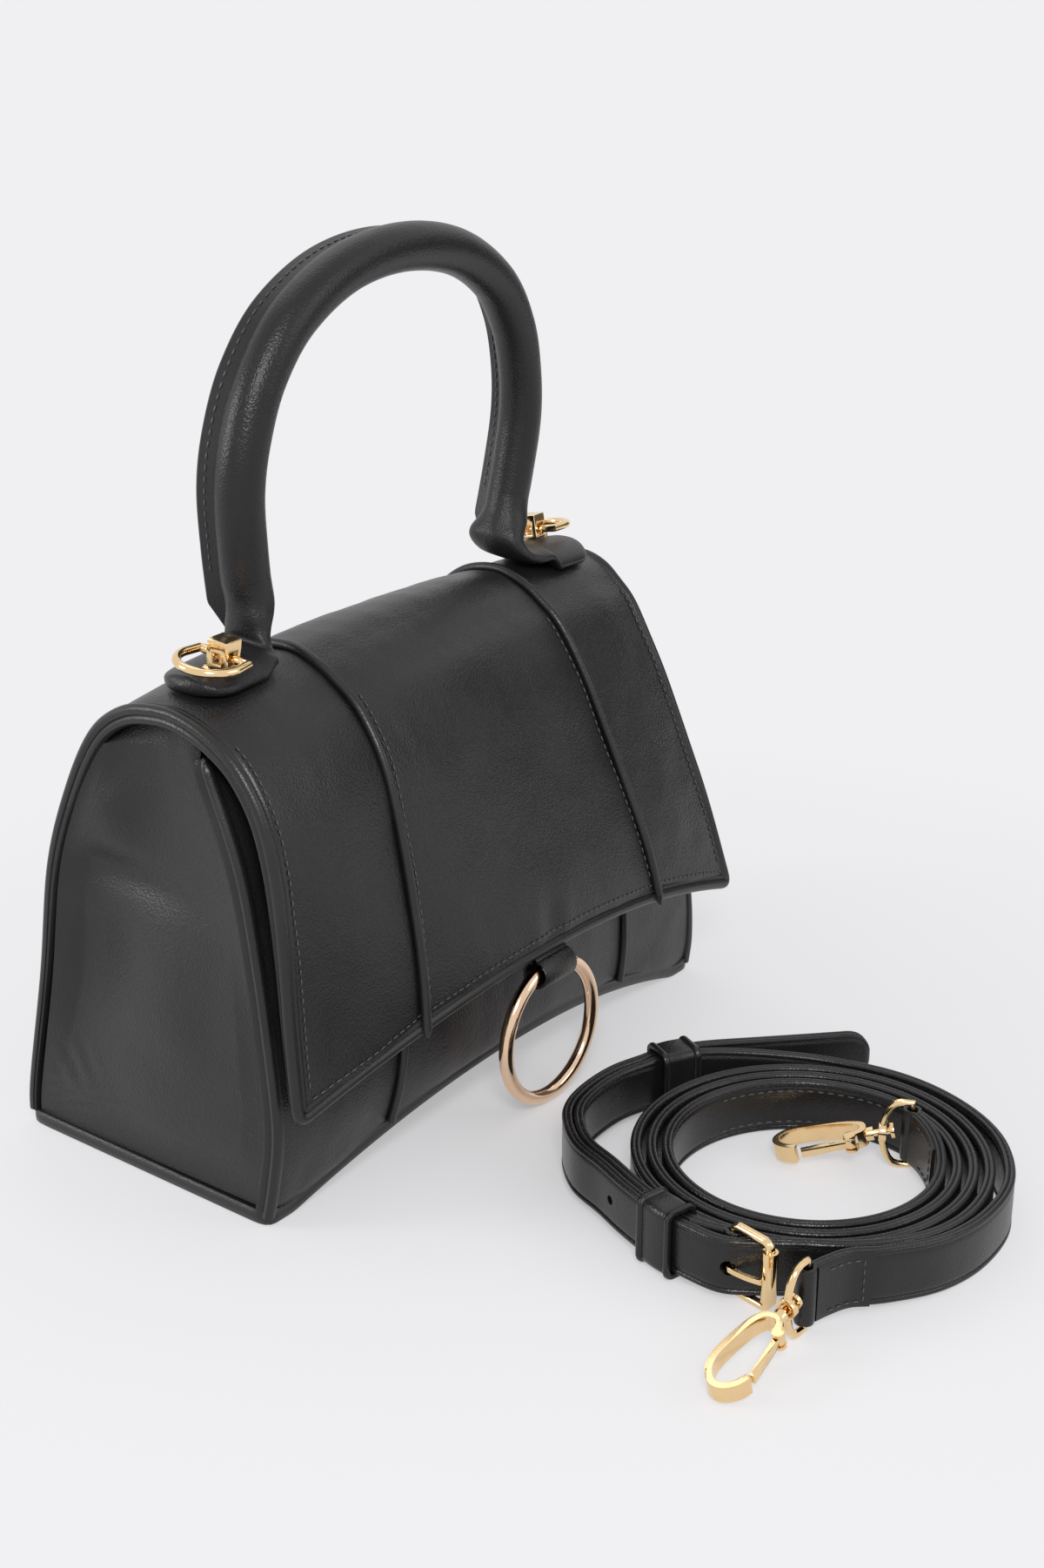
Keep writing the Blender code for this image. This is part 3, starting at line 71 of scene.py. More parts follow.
# Floor and light: a pale paper floor that runs off into a pale studio, lit by a softbox above the camera,
# weaker ones at the left, the right and the back, and the glow of the room. A painted pale glow on the
# floor lightens the bag's shadow on it.
class Value:
    """One output of a shader node. Arithmetic on it adds the Math nodes that it needs."""

    def __init__(self, nodes, socket):
        self.nodes, self.socket = nodes, socket

    def maths(self, operation, first, second, clamp=False):
        settings = {"operation": operation, "use_clamp": clamp}
        return self.nodes.add("ShaderNodeMath", settings, {0: first, 1: second})

    def __add__(self, other):
        return self.maths("ADD", self, other)

    def __radd__(self, other):
        return self.maths("ADD", other, self)

    def __sub__(self, other):
        return self.maths("SUBTRACT", self, other)

    def __rsub__(self, other):
        return self.maths("SUBTRACT", other, self)

    def __mul__(self, other):
        return self.maths("MULTIPLY", self, other)

    def __rmul__(self, other):
        return self.maths("MULTIPLY", other, self)

    def __truediv__(self, other):
        return self.maths("DIVIDE", self, other)

    def clipped(self):
        return self.maths("ADD", self, 0.0, True)

    def out(self, name):
        """Another output of the same node."""
        return Value(self.nodes, self.socket.node.outputs[name])


class Nodes:
    """The node tree of one material or of the world."""

    def __init__(self, owner):
        owner.use_nodes = True
        self.tree = owner.node_tree

    def set(self, socket, value):
        if isinstance(value, Value):
            self.tree.links.new(value.socket, socket)
        else:
            socket.default_value = value

    def add(self, kind, settings=None, sockets=None, output=0):
        node = self.tree.nodes.new(kind)
        for name, value in (settings or {}).items():
            setattr(node, name, value)
        for name, value in (sockets or {}).items():
            self.set(node.inputs[name], value)
        return Value(self, node.outputs[output])


BACKGROUND = (0.871, 0.871, 0.886, 1.0)
FLOOR_COLOUR, FLOOR_RADIUS, FLOOR_DROP = (0.770, 0.756, 0.772, 1.0), 6.0, 0.0002
GLOW, FADE_START, FADE_SPAN = 0.62, -0.22, 0.62
SCREEN_SIZE, SCREEN_PLACE = (0.60, 1.10, 1.0), (1.05, -0.45, 0.36)


def plainly_seen(nodes):
    """1 where the camera, a reflection or glass looks at the surface, 0 for the light it gives."""
    ray = nodes.add("ShaderNodeLightPath")
    return (ray.out("Is Camera Ray") + ray.out("Is Glossy Ray") + ray.out("Is Transmission Ray")).clipped()


world = bpy.data.worlds.new("studio")
bpy.context.scene.world = world
nodes = Nodes(world)
glow = nodes.add("ShaderNodeBackground", None, {"Color": (1.0, 1.0, 1.0, 1.0), "Strength": GLOW})
shown = nodes.add("ShaderNodeBackground", None, {"Color": BACKGROUND, "Strength": 1.0})
mixed = nodes.add("ShaderNodeMixShader", None, {0: plainly_seen(nodes), 1: glow, 2: shown})
nodes.set(nodes.tree.nodes["World Output"].inputs["Surface"], mixed)

bpy.ops.object.select_all(action="DESELECT")
bpy.ops.mesh.primitive_circle_add(
    vertices=96, radius=FLOOR_RADIUS, fill_type="NGON", location=(0.0, 0.0, -FLOOR_DROP))
floor = bpy.context.active_object
floor.name = "studio_floor"
bpy.ops.object.transform_apply(location=True)
paper = bpy.data.materials.new("floor_paper")
nodes = Nodes(paper)
lit = nodes.tree.nodes["Principled BSDF"]
nodes.set(lit.inputs["Base Color"], FLOOR_COLOUR)
nodes.set(lit.inputs["Roughness"], 0.85)
nodes.set(lit.inputs["Specular IOR Level"], 0.2)
place = nodes.add("ShaderNodeTexCoord", output="Object")
away = nodes.add("ShaderNodeVectorMath", {"operation": "LENGTH"}, {0: place}, "Value")
# Painted light: the camera sees the pale glow mixed into the floor even under the bag, about a third there,
# so it lightens the bag's shadow as well as fading the floor into the backdrop.
far = ((away - FADE_START) / FADE_SPAN).clipped()
pale = nodes.add("ShaderNodeEmission", None, {"Color": BACKGROUND, "Strength": 1.0})
mixed = nodes.add("ShaderNodeMixShader", None, {
    0: far * plainly_seen(nodes), 1: Value(nodes, lit.outputs["BSDF"]), 2: pale})
nodes.set(nodes.tree.nodes["Material Output"].inputs["Surface"], mixed)
floor.data.materials.append(paper)


def softbox(name, spot, target, size, power):
    lamp = bpy.data.objects.new(name, bpy.data.lights.new(name, "AREA"))
    bpy.context.scene.collection.objects.link(lamp)
    lamp.data.size, lamp.data.energy = size, power
    lamp.location = spot
    lamp.rotation_mode = "QUATERNION"
    lamp.rotation_quaternion = (Vector(target) - Vector(spot)).to_track_quat("-Z", "Y")


softbox("key_softbox", (-0.88, -0.70, 0.98), (0.0, 0.0, 0.12), 0.35, 9.5)
softbox("side_softbox", (-0.95, 0.92, 0.56), (-0.05, 0.05, 0.12), 0.4, 5.5)
softbox("fill_softbox", (0.55, -1.30, 0.85), (0.0, 0.0, 0.08), 0.7, 3.0)
softbox("top_softbox", (0.25, 0.55, 1.25), (0.0, 0.05, 0.10), 0.7, 1.2)

# A dark screen on the right, which shows in the reflections alone.
bpy.ops.object.select_all(action="DESELECT")
bpy.ops.mesh.primitive_plane_add(size=1.0, location=SCREEN_PLACE, rotation=(0.0, math.pi / 2, 0.0))
screen = bpy.context.active_object
screen.name = "dark_screen"
screen.scale = SCREEN_SIZE
bpy.ops.object.transform_apply(location=True, rotation=True, scale=True)
felt = bpy.data.materials.new("black_felt")
nodes = Nodes(felt)
lit = nodes.tree.nodes["Principled BSDF"]
nodes.set(lit.inputs["Base Color"], (0.10, 0.10, 0.10, 1.0))
nodes.set(lit.inputs["Roughness"], 0.9)
screen.data.materials.append(felt)
screen.visible_camera = screen.visible_diffuse = screen.visible_shadow = screen.visible_transmission = False


# Leather of the back, crown and flap: three pieces sewn edge to edge over two corded seams, each running
# from the base up the back, over the crown and down the flap, of black calf turned in along its edges.
BAG_WIDTH, BAG_DEPTH, BAG_HEIGHT = 0.240, 0.112, 0.170
BASE_RISE, ARCH_HALF = 0.0180, 0.108
LEATHER, LINING, LAYER_GAP = 0.0016, 0.0011, 0.0006
PIPE_RADIUS, CORD_RADIUS = 0.0020, 0.0015
PIPE_X = BAG_WIDTH / 2 - PIPE_RADIUS
FLAP_THICK = LEATHER + LAYER_GAP + LINING
PIPE_BAND = 2 * PIPE_RADIUS + 0.0008
SEAM_TOP, SEAM_BOTTOM = 0.0590, 0.0660
LEATHER_COLOUR = (0.0075, 0.0075, 0.0084, 1.0)
WORN_COLOUR = (0.0145, 0.0142, 0.0148, 1.0)
FRONT_SHARES = (
    (-0.350, 0.895, -0.179, 0.841, -0.006, -0.012),
    (-0.461, 0.706, -0.286, 0.706, -0.026, 0.000),
    (-0.506, 0.541, -0.384, 0.541, -0.091, 0.000),
    (-0.540, 0.353, -0.455, 0.353, -0.089, 0.000),
    (-0.556, 0.206, -0.500, 0.206, -0.052, 0.000),
    (-0.531, 0.088, -0.513, 0.088, -0.016, 0.000),
    (-0.500, 0.000, -0.500, 0.000, 0.000, 0.000),
)
OVER_SHARES = (
    (0.500, 0.000, 0.500, 0.000, 0.000, 0.000),
    (0.491, 0.088, 0.491, 0.088, 0.009, 0.000),
    (0.393, 0.353, 0.420, 0.353, 0.036, 0.000),
    (0.321, 0.588, 0.384, 0.588, 0.040, 0.000),
    (0.219, 0.753, 0.321, 0.753, 0.027, 0.006),
    (0.098, 0.882, 0.214, 0.882, 0.009, 0.018),
    (-0.036, 0.944, 0.107, 0.938, 0.000, 0.032),
    (-0.188, 0.962, -0.018, 0.953, 0.000, 0.035),
    (-0.295, 0.953, -0.116, 0.935, 0.000, 0.029),
    (-0.384, 0.929, -0.179, 0.900, -0.009, 0.026),
    (-0.473, 0.888, -0.237, 0.862, -0.018, 0.021),
    (-0.549, 0.812, -0.308, 0.782, -0.031, 0.012),
    (-0.589, 0.706, -0.375, 0.700, -0.045, 0.000),
    (-0.607, 0.565, -0.473, 0.559, -0.067, 0.000),
    (-0.616, 0.412, -0.562, 0.424, -0.089, 0.000),
    (-0.634, 0.235, -0.670, 0.229, -0.071, 0.000),
)
HINGE_ROW, CROWN_ROW, SPAN_STEPS = 9, 7, 24
HINGE_SHARE = 0.53
EDGE_INSET, SEAM_INSET = 0.0009, 0.0006
PIECE_SEEDS = {"left": 4, "centre": 6, "right": 5}
SIDES = (("left", -1), ("right", 1))


def mix(a, b, t):
    return a * (1 - t) + b * t


def smooth(rows, steps):
    """Curve through the rows, with this many steps in each span."""
    p = np.asarray(rows, float)
    p = np.vstack([2 * p[0] - p[1], p, 2 * p[-1] - p[-2]])
    t = np.linspace(0.0, 1.0, steps, endpoint=False)[:, None]
    spans = [
        0.5 * (2 * b + (c - a) * t + (2 * a - 5 * b + 4 * c - d) * t**2 + (3 * b - a - 3 * c + d) * t**3)
        for a, b, c, d in zip(p[:-3], p[1:-2], p[2:-1], p[3:])
    ]
    return np.vstack([*spans, p[-2:-1]])


def unit(vectors):
    return vectors / np.linalg.norm(vectors, axis=-1, keepdims=True)


def arcs_along(points):
    """The way along the line from its start to each of its points."""
    return np.concatenate([[0.0], np.cumsum(np.linalg.norm(np.diff(points, axis=0), axis=1))])


class Wall:
    """A leather wall of the bag. Its profile changes across the width, and depth goes into the bag."""

    def __init__(self, shares, zero_row):
        rows = np.array(shares)
        self.across = np.linspace(-BAG_WIDTH / 2, BAG_WIDTH / 2, 61)
        self.down = np.arange(-0.32, 0.32, 0.0005)
        self.lines, tables = [], []
        for x in self.across:
            side, middle = 0.5 + x / BAG_WIDTH, 1.0 - (2.0 * x / BAG_WIDTH) ** 2
            points = smooth(np.column_stack([
                BAG_DEPTH * ((1 - side) * rows[:, 0] + side * rows[:, 2] + middle * rows[:, 4]),
                BAG_HEIGHT * ((1 - side) * rows[:, 1] + side * rows[:, 3] + middle * rows[:, 5]),
            ]), SPAN_STEPS)
            arcs = arcs_along(points)
            arcs -= arcs[zero_row * SPAN_STEPS]
            along = unit(np.gradient(points, arcs, axis=0))
            self.lines.append((arcs, points))
            columns = (*points.T, -along[:, 1], along[:, 0])
            tables.append([np.interp(self.down, arcs, column) for column in columns])
        self.table = np.array(tables).transpose(0, 2, 1)

    def read(self, x, arc):
        x, arc = np.broadcast_arrays(np.asarray(x, float), np.asarray(arc, float))
        i = np.clip((x - self.across[0]) / (self.across[1] - self.across[0]), 0, len(self.across) - 1.001)
        j = np.clip((arc - self.down[0]) / (self.down[1] - self.down[0]), 0, len(self.down) - 1.001)
        i0, j0 = i.astype(int), j.astype(int)
        fi, fj = (i - i0)[..., None], (j - j0)[..., None]
        low = mix(self.table[i0, j0], self.table[i0, j0 + 1], fj)
        high = mix(self.table[i0 + 1, j0], self.table[i0 + 1, j0 + 1], fj)
        return mix(low, high, fi)

    def at(self, x, arc, depth=0.0):
        y, z, ny, nz = np.moveaxis(self.read(x, arc), -1, 0)
        return np.stack([np.broadcast_to(x, y.shape), y + ny * depth + STAND_BACK, z + nz * depth], axis=-1)

    def outward(self, x, arc):
        _, _, ny, nz = np.moveaxis(self.read(x, arc), -1, 0)
        return unit(np.stack([np.zeros_like(ny), -ny, -nz], axis=-1))

    def meeting(self, heights, falling):
        """At each x of the wall, the arc at which it goes down or up through the height."""
        found = []
        for (arcs, points), height in zip(self.lines, heights):
            top = int(np.argmax(points[:, 1]))
            part = slice(top, None) if falling else slice(None, top + 1)
            heights_here, arcs_here = points[part, 1], arcs[part]
            found.append(np.interp(height, heights_here[::-1], arcs_here[::-1]) if falling
                         else np.interp(height, heights_here, arcs_here))
        return np.array(found)

    def row_arc(self, x, row):
        return np.interp(x, self.across, [arcs[row * SPAN_STEPS] for arcs, _ in self.lines])


STAND_BACK = 0.0
FRONT, OVER = Wall(FRONT_SHARES, 0), Wall(OVER_SHARES, HINGE_ROW)
hinge = next(joint for joint in frame["joints"] if joint["name"] == "flap_hinge")
STAND_BACK = float(hinge["pos_m"][1] - OVER.at(0.0, 0.0)[1])
XS = FRONT.across


def at_x(table, x):
    """The value at this x of a table that goes across the wall."""
    return np.interp(x, XS, table)


def arch(x):
    return BASE_RISE * np.maximum(0.0, 1.0 - (x / ARCH_HALF) ** 2)


def flap_edge(x):
    return BAG_HEIGHT * (0.241 + 0.112 * (1.0 - (2.0 * x / BAG_WIDTH) ** 2))


def seam_x(share):
    return mix(SEAM_TOP, SEAM_BOTTOM, share)


def seam_share(v):
    """How far down a seam this share of the whole run is: 0 at the crown, 1 at both feet."""
    return np.where(v < HINGE_SHARE, 1 - v / HINGE_SHARE, (v - HINGE_SHARE) / (1 - HINGE_SHARE))


front_foot = FRONT.meeting(arch(XS) + PIPE_BAND, True)
back_foot = OVER.meeting(arch(XS) + PIPE_BAND, False)
flap_foot = OVER.meeting(flap_edge(XS), True)


def select_only(made):
    bpy.ops.object.select_all(action="DESELECT")
    made.select_set(True)
    bpy.context.view_layer.objects.active = made


def laid(name, columns, rows, shape):
    """A grid laid over shape(u, v), with u and v from 0 to 1, as leather is laid over a last."""
    bpy.ops.object.select_all(action="DESELECT")
    bpy.ops.mesh.primitive_grid_add(x_subdivisions=columns, y_subdivisions=rows, size=2.0)
    made = bpy.context.active_object
    made.name = made.data.name = name
    spots = np.empty(len(made.data.vertices) * 3)
    made.data.vertices.foreach_get("co", spots)
    spots = spots.reshape(-1, 3)
    placed = shape((spots[:, 0] + 1) / 2, (spots[:, 1] + 1) / 2)
    made.data.vertices.foreach_set("co", placed.astype(np.float32).ravel())
    made.data.update()
    return made


def press(made, kind, **settings):
    """Adds a modifier and applies it."""
    step = made.modifiers.new(kind.lower(), kind)
    for name, value in settings.items():
        setattr(step, name, value)
    bpy.context.view_layer.objects.active = made
    bpy.ops.object.modifier_apply(modifier=step.name)


def sewn(made, close=False):
    """Merges the doubled edges of a rolled grid, closes its ends and turns its faces outwards."""
    select_only(made)
    bpy.ops.object.mode_set(mode="EDIT")
    bpy.ops.mesh.select_all(action="SELECT")
    bpy.ops.mesh.remove_doubles(threshold=0.00001)
    if close:
        bpy.ops.mesh.fill_holes(sides=0)
    bpy.ops.mesh.normals_make_consistent(inside=False)
    bpy.ops.object.mode_set(mode="OBJECT")


def smooth_faces(made, angle=40.0):
    select_only(made)
    bpy.ops.object.shade_smooth_by_angle(angle=math.radians(angle))


def facing(made, toward):
    """Turns the sheet's faces to the side that shows."""
    total = np.zeros(3)
    for face in made.data.polygons:
        total += np.array(face.normal) * face.area
    if total @ np.array(toward) < 0:
        select_only(made)
        bpy.ops.object.mode_set(mode="EDIT")
        bpy.ops.mesh.select_all(action="SELECT")
        bpy.ops.mesh.flip_normals()
        bpy.ops.object.mode_set(mode="OBJECT")


def panel(name, columns, rows, shape, toward, thickness):
    """A sheet laid over the shape, as thick as given, with its good side the way it is turned."""
    made = laid(name, columns, rows, shape)
    facing(made, toward)
    press(made, "SOLIDIFY", thickness=thickness, offset=-1.0)
    smooth_faces(made, 60.0)
    return made


def ripple(a, b, length, seed):
    """Gentle waves over two lengths, between about -1 and 1, the same each time."""
    total = 0.0
    for k in range(5):
        turn = seed * 1.37 + k * 2.399
        reach = length * (0.7 + 0.22 * k)
        along = a * math.cos(turn) + b * math.sin(turn)
        total = total + np.sin(along * 2 * math.pi / reach + seed * 5.1 + k * 1.9)
    return total / 3.2


def material(name, metallic=0.0):
    """A new material, the object's own coordinates in it, and a call that sets its shader's inputs."""
    made = bpy.data.materials.new(name)
    nodes = Nodes(made)
    shader = nodes.tree.nodes["Principled BSDF"]
    nodes.set(shader.inputs["Metallic"], metallic)

    def finish(colour, roughness, **others):
        nodes.set(shader.inputs["Base Color"], colour)
        nodes.set(shader.inputs["Roughness"], roughness)
        for key, value in others.items():
            nodes.set(shader.inputs[key.replace("_", " ")], value)
        return made
    return nodes.add("ShaderNodeTexCoord", output="Object"), finish


def noise(place, scale, detail):
    sockets = {"Vector": place, "Scale": scale, "Detail": detail}
    return place.nodes.add("ShaderNodeTexNoise", None, sockets, "Fac")


def blended(share, colour, other):
    """The first colour where the share is 0, the other where it is 1."""
    return share.nodes.add("ShaderNodeMix", {"data_type": "RGBA"}, {0: share, 6: colour, 7: other}, 2)


def bumped(height, strength, distance=0.0002):
    sockets = {"Height": height, "Strength": strength, "Distance": distance}
    return height.nodes.add("ShaderNodeBump", None, sockets, "Normal")


def calf(name, colour, worn, rough, grain, pebble=1250.0, gloss=0.42):
    """Black leather: fine pebbled grain with pores, patches a little drier or greyer with handling."""
    place, finish = material(name)
    sockets = {"Vector": place, "Scale": pebble, "Randomness": 1.0}
    cells = place.nodes.add("ShaderNodeTexVoronoi", None, sockets, "Distance")
    height = cells * 0.55 + noise(place, 2400.0, 2.0) * 0.35 + noise(place, 190.0, 4.0) * 0.8
    dry = ((noise(place, 26.0, 3.0) - 0.42) * 3.2).clipped()
    return finish(
        blended(dry * 0.75 + cells * 0.25, colour, worn), rough + dry * 0.09 + cells * 0.06,
        Normal=bumped(height, grain, 0.00040), Specular_IOR_Level=gloss)


black_calf = calf("black_calf", LEATHER_COLOUR, WORN_COLOUR, 0.31, 0.60)


def fit(made, finish, slot, body, *nodes_hidden):
    """Gives the piece its finish and hides the CAD solids that it stands for. A piece with a named body
    moves with it; any other is fixed in place.
    """
    made.data.materials.clear()
    made.data.materials.append(finish)
    if isinstance(body, str):
        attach(made, body)
    else:
        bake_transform(made)
    if nodes_hidden:
        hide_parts(*nodes_hidden)
    return made


# The flap meets the bag along a line that follows the crown's slant. Pieces that run across it are fixed in
# place here, not bound to the bag or the flap.
hinge_place = Vector(hinge["pos_m"])
hinge_line = (Vector(OVER.at(PIPE_X, 0.0)) - Vector(OVER.at(-PIPE_X, 0.0))).normalized()
forward = Vector((hinge_line.y, -hinge_line.x, 0.0)).normalized()
ACROSS_HINGE = ("bag", "flap", hinge_place - forward * 0.010, hinge_place + forward * 0.010)


def pulled_in(distance, depth, reach):
    """How far the leather sinks this near to a seam."""
    return depth * np.exp(-np.maximum(distance, 0.0) / reach)


def wall_relief(x, share, arc, seed):
    """How deep a panel's face lies: pulled in at its seams and sides, and swollen between them."""
    seam = np.abs(np.abs(x) - seam_x(share)) - CORD_RADIUS * 0.8
    side = PIPE_X - np.abs(x) - PIPE_RADIUS
    sink = pulled_in(seam, 0.0006, 0.0013) + pulled_in(side, 0.0008, 0.0022)
    swell = 0.0009 * (1 - np.exp(-(np.minimum(seam, side) / 0.014) ** 2))
    return sink - swell - 0.00035 * ripple(x, arc, 0.052, seed) - 0.00012 * ripple(x, arc, 0.017, seed + 3)


def over_depth(x, arc, seed):
    """How deep the leather's face lies here, with its swell, its seams and the pull of the ring."""
    low = at_x(flap_foot, x) - PIPE_RADIUS - arc
    v = 1 - low / (low + arc - at_x(back_foot, x))
    depth = wall_relief(x, seam_share(v), arc, seed) + pulled_in(low, 0.0007, 0.0020)
    pucker = np.exp(-((x / 0.011) ** 2) - ((low - 0.006) / 0.009) ** 2)
    return depth + pucker * (0.0006 * np.cos(x / 0.0028) + 0.0005)


def over_shape(start, stop, seed):
    """Leather from the foot of the back, v = 0, over the crown to the flap's edge, v = 1."""
    def shape(u, v):
        x = mix(start(seam_share(v)), stop(seam_share(v)), u)
        arc = mix(at_x(back_foot, x), at_x(flap_foot, x) - PIPE_RADIUS, v)
        return OVER.at(x, arc, over_depth(x, arc, seed))
    return shape


def outer_edge(sign):
    return lambda share: sign * (PIPE_X - EDGE_INSET)


def seam_edge(sign, away):
    return lambda share: sign * (seam_x(share) + away * SEAM_INSET)


for name, start, stop, columns, nodes_hidden in (
    ("left", outer_edge(-1), seam_edge(-1, 1), 64, ("back_panel_left", "flap_panel_left")),
    ("centre", seam_edge(-1, -1), seam_edge(1, -1), 110, ("back_panel_centre", "flap_panel_centre")),
    ("right", seam_edge(1, 1), outer_edge(1), 64, ("back_panel_right", "flap_panel_right")),
):
    shape = over_shape(start, stop, PIECE_SEEDS[name])
    made = panel(f"over_leather_{name}", columns, 260, shape, (0.0, -0.2, 1.0), LEATHER)
    fit(made, black_calf, "black_leather", ACROSS_HINGE, *nodes_hidden)


# Front leather: three pieces under the flap, sewn in the same way over the same two seams, with the
# centre one swelling out and all of them folding in a little towards the base.
def front_shape(start, stop, seed):
    def shape(u, v):
        x = mix(start(v), stop(v), u)
        arc = v * at_x(front_foot, x)
        depth = wall_relief(x, v, arc, seed)
        low = at_x(front_foot, x) - arc
        return FRONT.at(x, arc, depth + pulled_in(low, 0.0006, 0.0020))
    return shape


for name, start, stop, columns in (
    ("left", outer_edge(-1), seam_edge(-1, 1), 50),
    ("centre", seam_edge(-1, -1), seam_edge(1, -1), 90),
    ("right", seam_edge(1, 1), outer_edge(1), 50),
):
    shape = front_shape(start, stop, 7 + len(name))
    made = panel(f"front_leather_{name}", columns, 120, shape, (0.0, -1.0, 0.0), LEATHER)
    fit(made, black_calf, "black_leather", "bag", f"front_panel_{name}")


# Seam cords: a strip of the same leather round a thin cord, caught in each seam and standing a little
# proud of the panels. It ends in a nub just past the flap's edge.
edge_calf = calf(
    "edge_calf", (0.0080, 0.0080, 0.0090, 1.0), (0.0160, 0.0158, 0.0165, 1.0), 0.29, 0.22, 1700.0)


def rolled(name, rings, around=False):
    """A tube through rings of points, closed at both ends or joined end to end."""
    count, sides = rings.shape[:2]
    rows = count if around else count - 1
    made = laid(name, sides, rows, lambda u, v: rings[
        np.rint(v * rows).astype(int) % count, np.rint(u * sides).astype(int) % sides])
    sewn(made, close=not around)
    return made


def swept(name, path, section, face, closed=False):
    """A strip with the given section drawn along the path. The section's second axis is the face side."""
    path, face = np.asarray(path, float), np.broadcast_to(np.asarray(face, float), np.shape(path))
    ahead = unit(np.roll(path, -1, 0) - np.roll(path, 1, 0) if closed else np.gradient(path, axis=0))
    face = unit(face - ahead * np.sum(face * ahead, axis=1, keepdims=True))
    aside = np.cross(ahead, face)
    section = np.asarray(section, float)
    rings = path[:, None] + aside[:, None] * section[..., :1] + face[:, None] * section[..., 1:]
    made = rolled(name, rings, closed)
    smooth_faces(made)
    return made


def squared(turns, power):
    """Cosine and sine of the turns, pushed out towards a square the smaller the power is."""
    c, s = np.cos(turns), np.sin(turns)
    return np.sign(c) * np.abs(c) ** power, np.sign(s) * np.abs(s) ** power


def round_section(width, height, sides=14, power=1.0):
    c, s = squared(np.arange(sides) * 2 * math.pi / sides, power)
    return np.column_stack([width * c, height * s])


def read_along(rows, arcs, at):
    """The rows, which lie at the given arcs, read at other ones."""
    return np.column_stack([np.interp(at, arcs, column) for column in rows.T])


def resampled(path, step):
    """The path with points this far apart."""
    arcs = arcs_along(path)
    return read_along(path, arcs, np.linspace(0.0, arcs[-1], max(2, round(arcs[-1] / step) + 1)))


def tapered(section, count, ends, least):
    """The section for each point of a path, drawn in to the least share at the path's near or far end."""
    spots = np.arange(count)
    scale = np.sqrt(np.clip((spots if ends == "near" else spots[::-1]) / 4.0, 0.0, 1.0))
    return np.asarray(section)[None] * np.maximum(scale, least)[:, None, None]


over_shares = np.linspace(0.0, 1.0, 400)
for side, sign in SIDES:
    x = sign * seam_x(seam_share(over_shares))
    arc = mix(at_x(back_foot, x), at_x(flap_foot, x) + 0.0030, over_shares)
    path = OVER.at(x, arc, -0.0006)
    section = tapered(round_section(CORD_RADIUS * 1.15, CORD_RADIUS * 1.15), len(path), "far", 0.3)
    made = swept(f"over_seam_cord_{side}", path, section, OVER.outward(x, arc))
    fit(made, edge_calf, "black_edge", ACROSS_HINGE, f"back_seam_cord_{side}", f"flap_seam_cord_{side}")
    shares = np.linspace(0.0, 1.0, 160)
    x = sign * seam_x(shares)
    arc = shares * at_x(front_foot, x)
    path = FRONT.at(x, arc, -0.0004)
    section = round_section(CORD_RADIUS, CORD_RADIUS)
    made = swept(f"front_seam_cord_{side}_cover", path, section, FRONT.outward(x, arc))
    fit(made, edge_calf, "black_edge", "bag", f"front_seam_cord_{side}")


# Stitches: waxed black thread, one grain-shaped stitch modelled once and set again and again along
# each seam, with the ends of each stitch sunk in the leather.
STITCH_SINK, STITCH_RISE = 0.0001, 0.00012
SEAM_STITCH_OUT, SIDE_STITCH_IN, EDGE_STITCH_UP = 0.0031, 0.0044, 0.0048
place, finish = material("waxed_thread")
strands = noise(place, 3500.0, 1.0)
thread = finish(
    blended(strands, (0.028, 0.028, 0.030, 1.0), (0.090, 0.088, 0.088, 1.0)), 0.34 + strands * 0.2)

bpy.ops.object.select_all(action="DESELECT")
bpy.ops.mesh.primitive_uv_sphere_add(segments=6, ring_count=5, radius=1.0, rotation=(0.0, math.pi / 2, 0.0))
stitch_model = bpy.context.active_object
bpy.ops.object.transform_apply(rotation=True)
stitch_spots = np.array([tuple(v.co) for v in stitch_model.data.vertices])
stitch_spots[:, 1] *= np.clip(1.25 - np.abs(stitch_spots[:, 0]), 0.25, 1.0)
# Sorted, because a new sphere's faces come in a different order each time.
stitch_faces = sorted(list(face.vertices) for face in stitch_model.data.polygons)
bpy.data.objects.remove(stitch_model)


def stitched(name, path, face, pitch=0.0031, length=0.0024, radius=0.00028):
    """A row of stitches along the path, each lying on the side that the face directions give."""
    path, face = np.asarray(path, float), np.broadcast_to(np.asarray(face, float), np.shape(path))
    arcs = arcs_along(path)
    at = np.arange(pitch / 2, arcs[-1], pitch)
    spots, up = read_along(path, arcs, at), read_along(face, arcs, at)
    ahead = unit(read_along(path, arcs, at + pitch / 3) - read_along(path, arcs, at - pitch / 3))
    up = unit(up - ahead * np.sum(up * ahead, axis=1, keepdims=True))
    aside = np.cross(up, ahead)
    grain = stitch_spots * [length / 2, radius * 1.3, radius] + [0.0, 0.0, STITCH_RISE]
    verts = grain @ np.stack([ahead, aside, up], axis=1) + spots[:, None]
    faces = [[i + k * len(grain) for i in corners] for k in range(len(spots)) for corners in stitch_faces]
    mesh = bpy.data.meshes.new(name)
    mesh.from_pydata(verts.reshape(-1, 3).tolist(), [], faces)
    made = bpy.data.objects.new(name, mesh)
    bpy.context.scene.collection.objects.link(made)
    smooth_faces(made, 180.0)
    return made


for side, sign in SIDES:
    shares = np.linspace(0.02, 1.0, 300)
    x = sign * (seam_x(shares) - SEAM_STITCH_OUT)
    arc = mix(0.004, at_x(flap_foot, x) - 0.006, shares)
    face = OVER.at(x, arc, over_depth(x, arc, PIECE_SEEDS["centre"]) - STITCH_SINK)
    made = stitched(f"flap_seam_stitches_{side}", face, OVER.outward(x, arc))
    fit(made, thread, "black_edge", "flap")


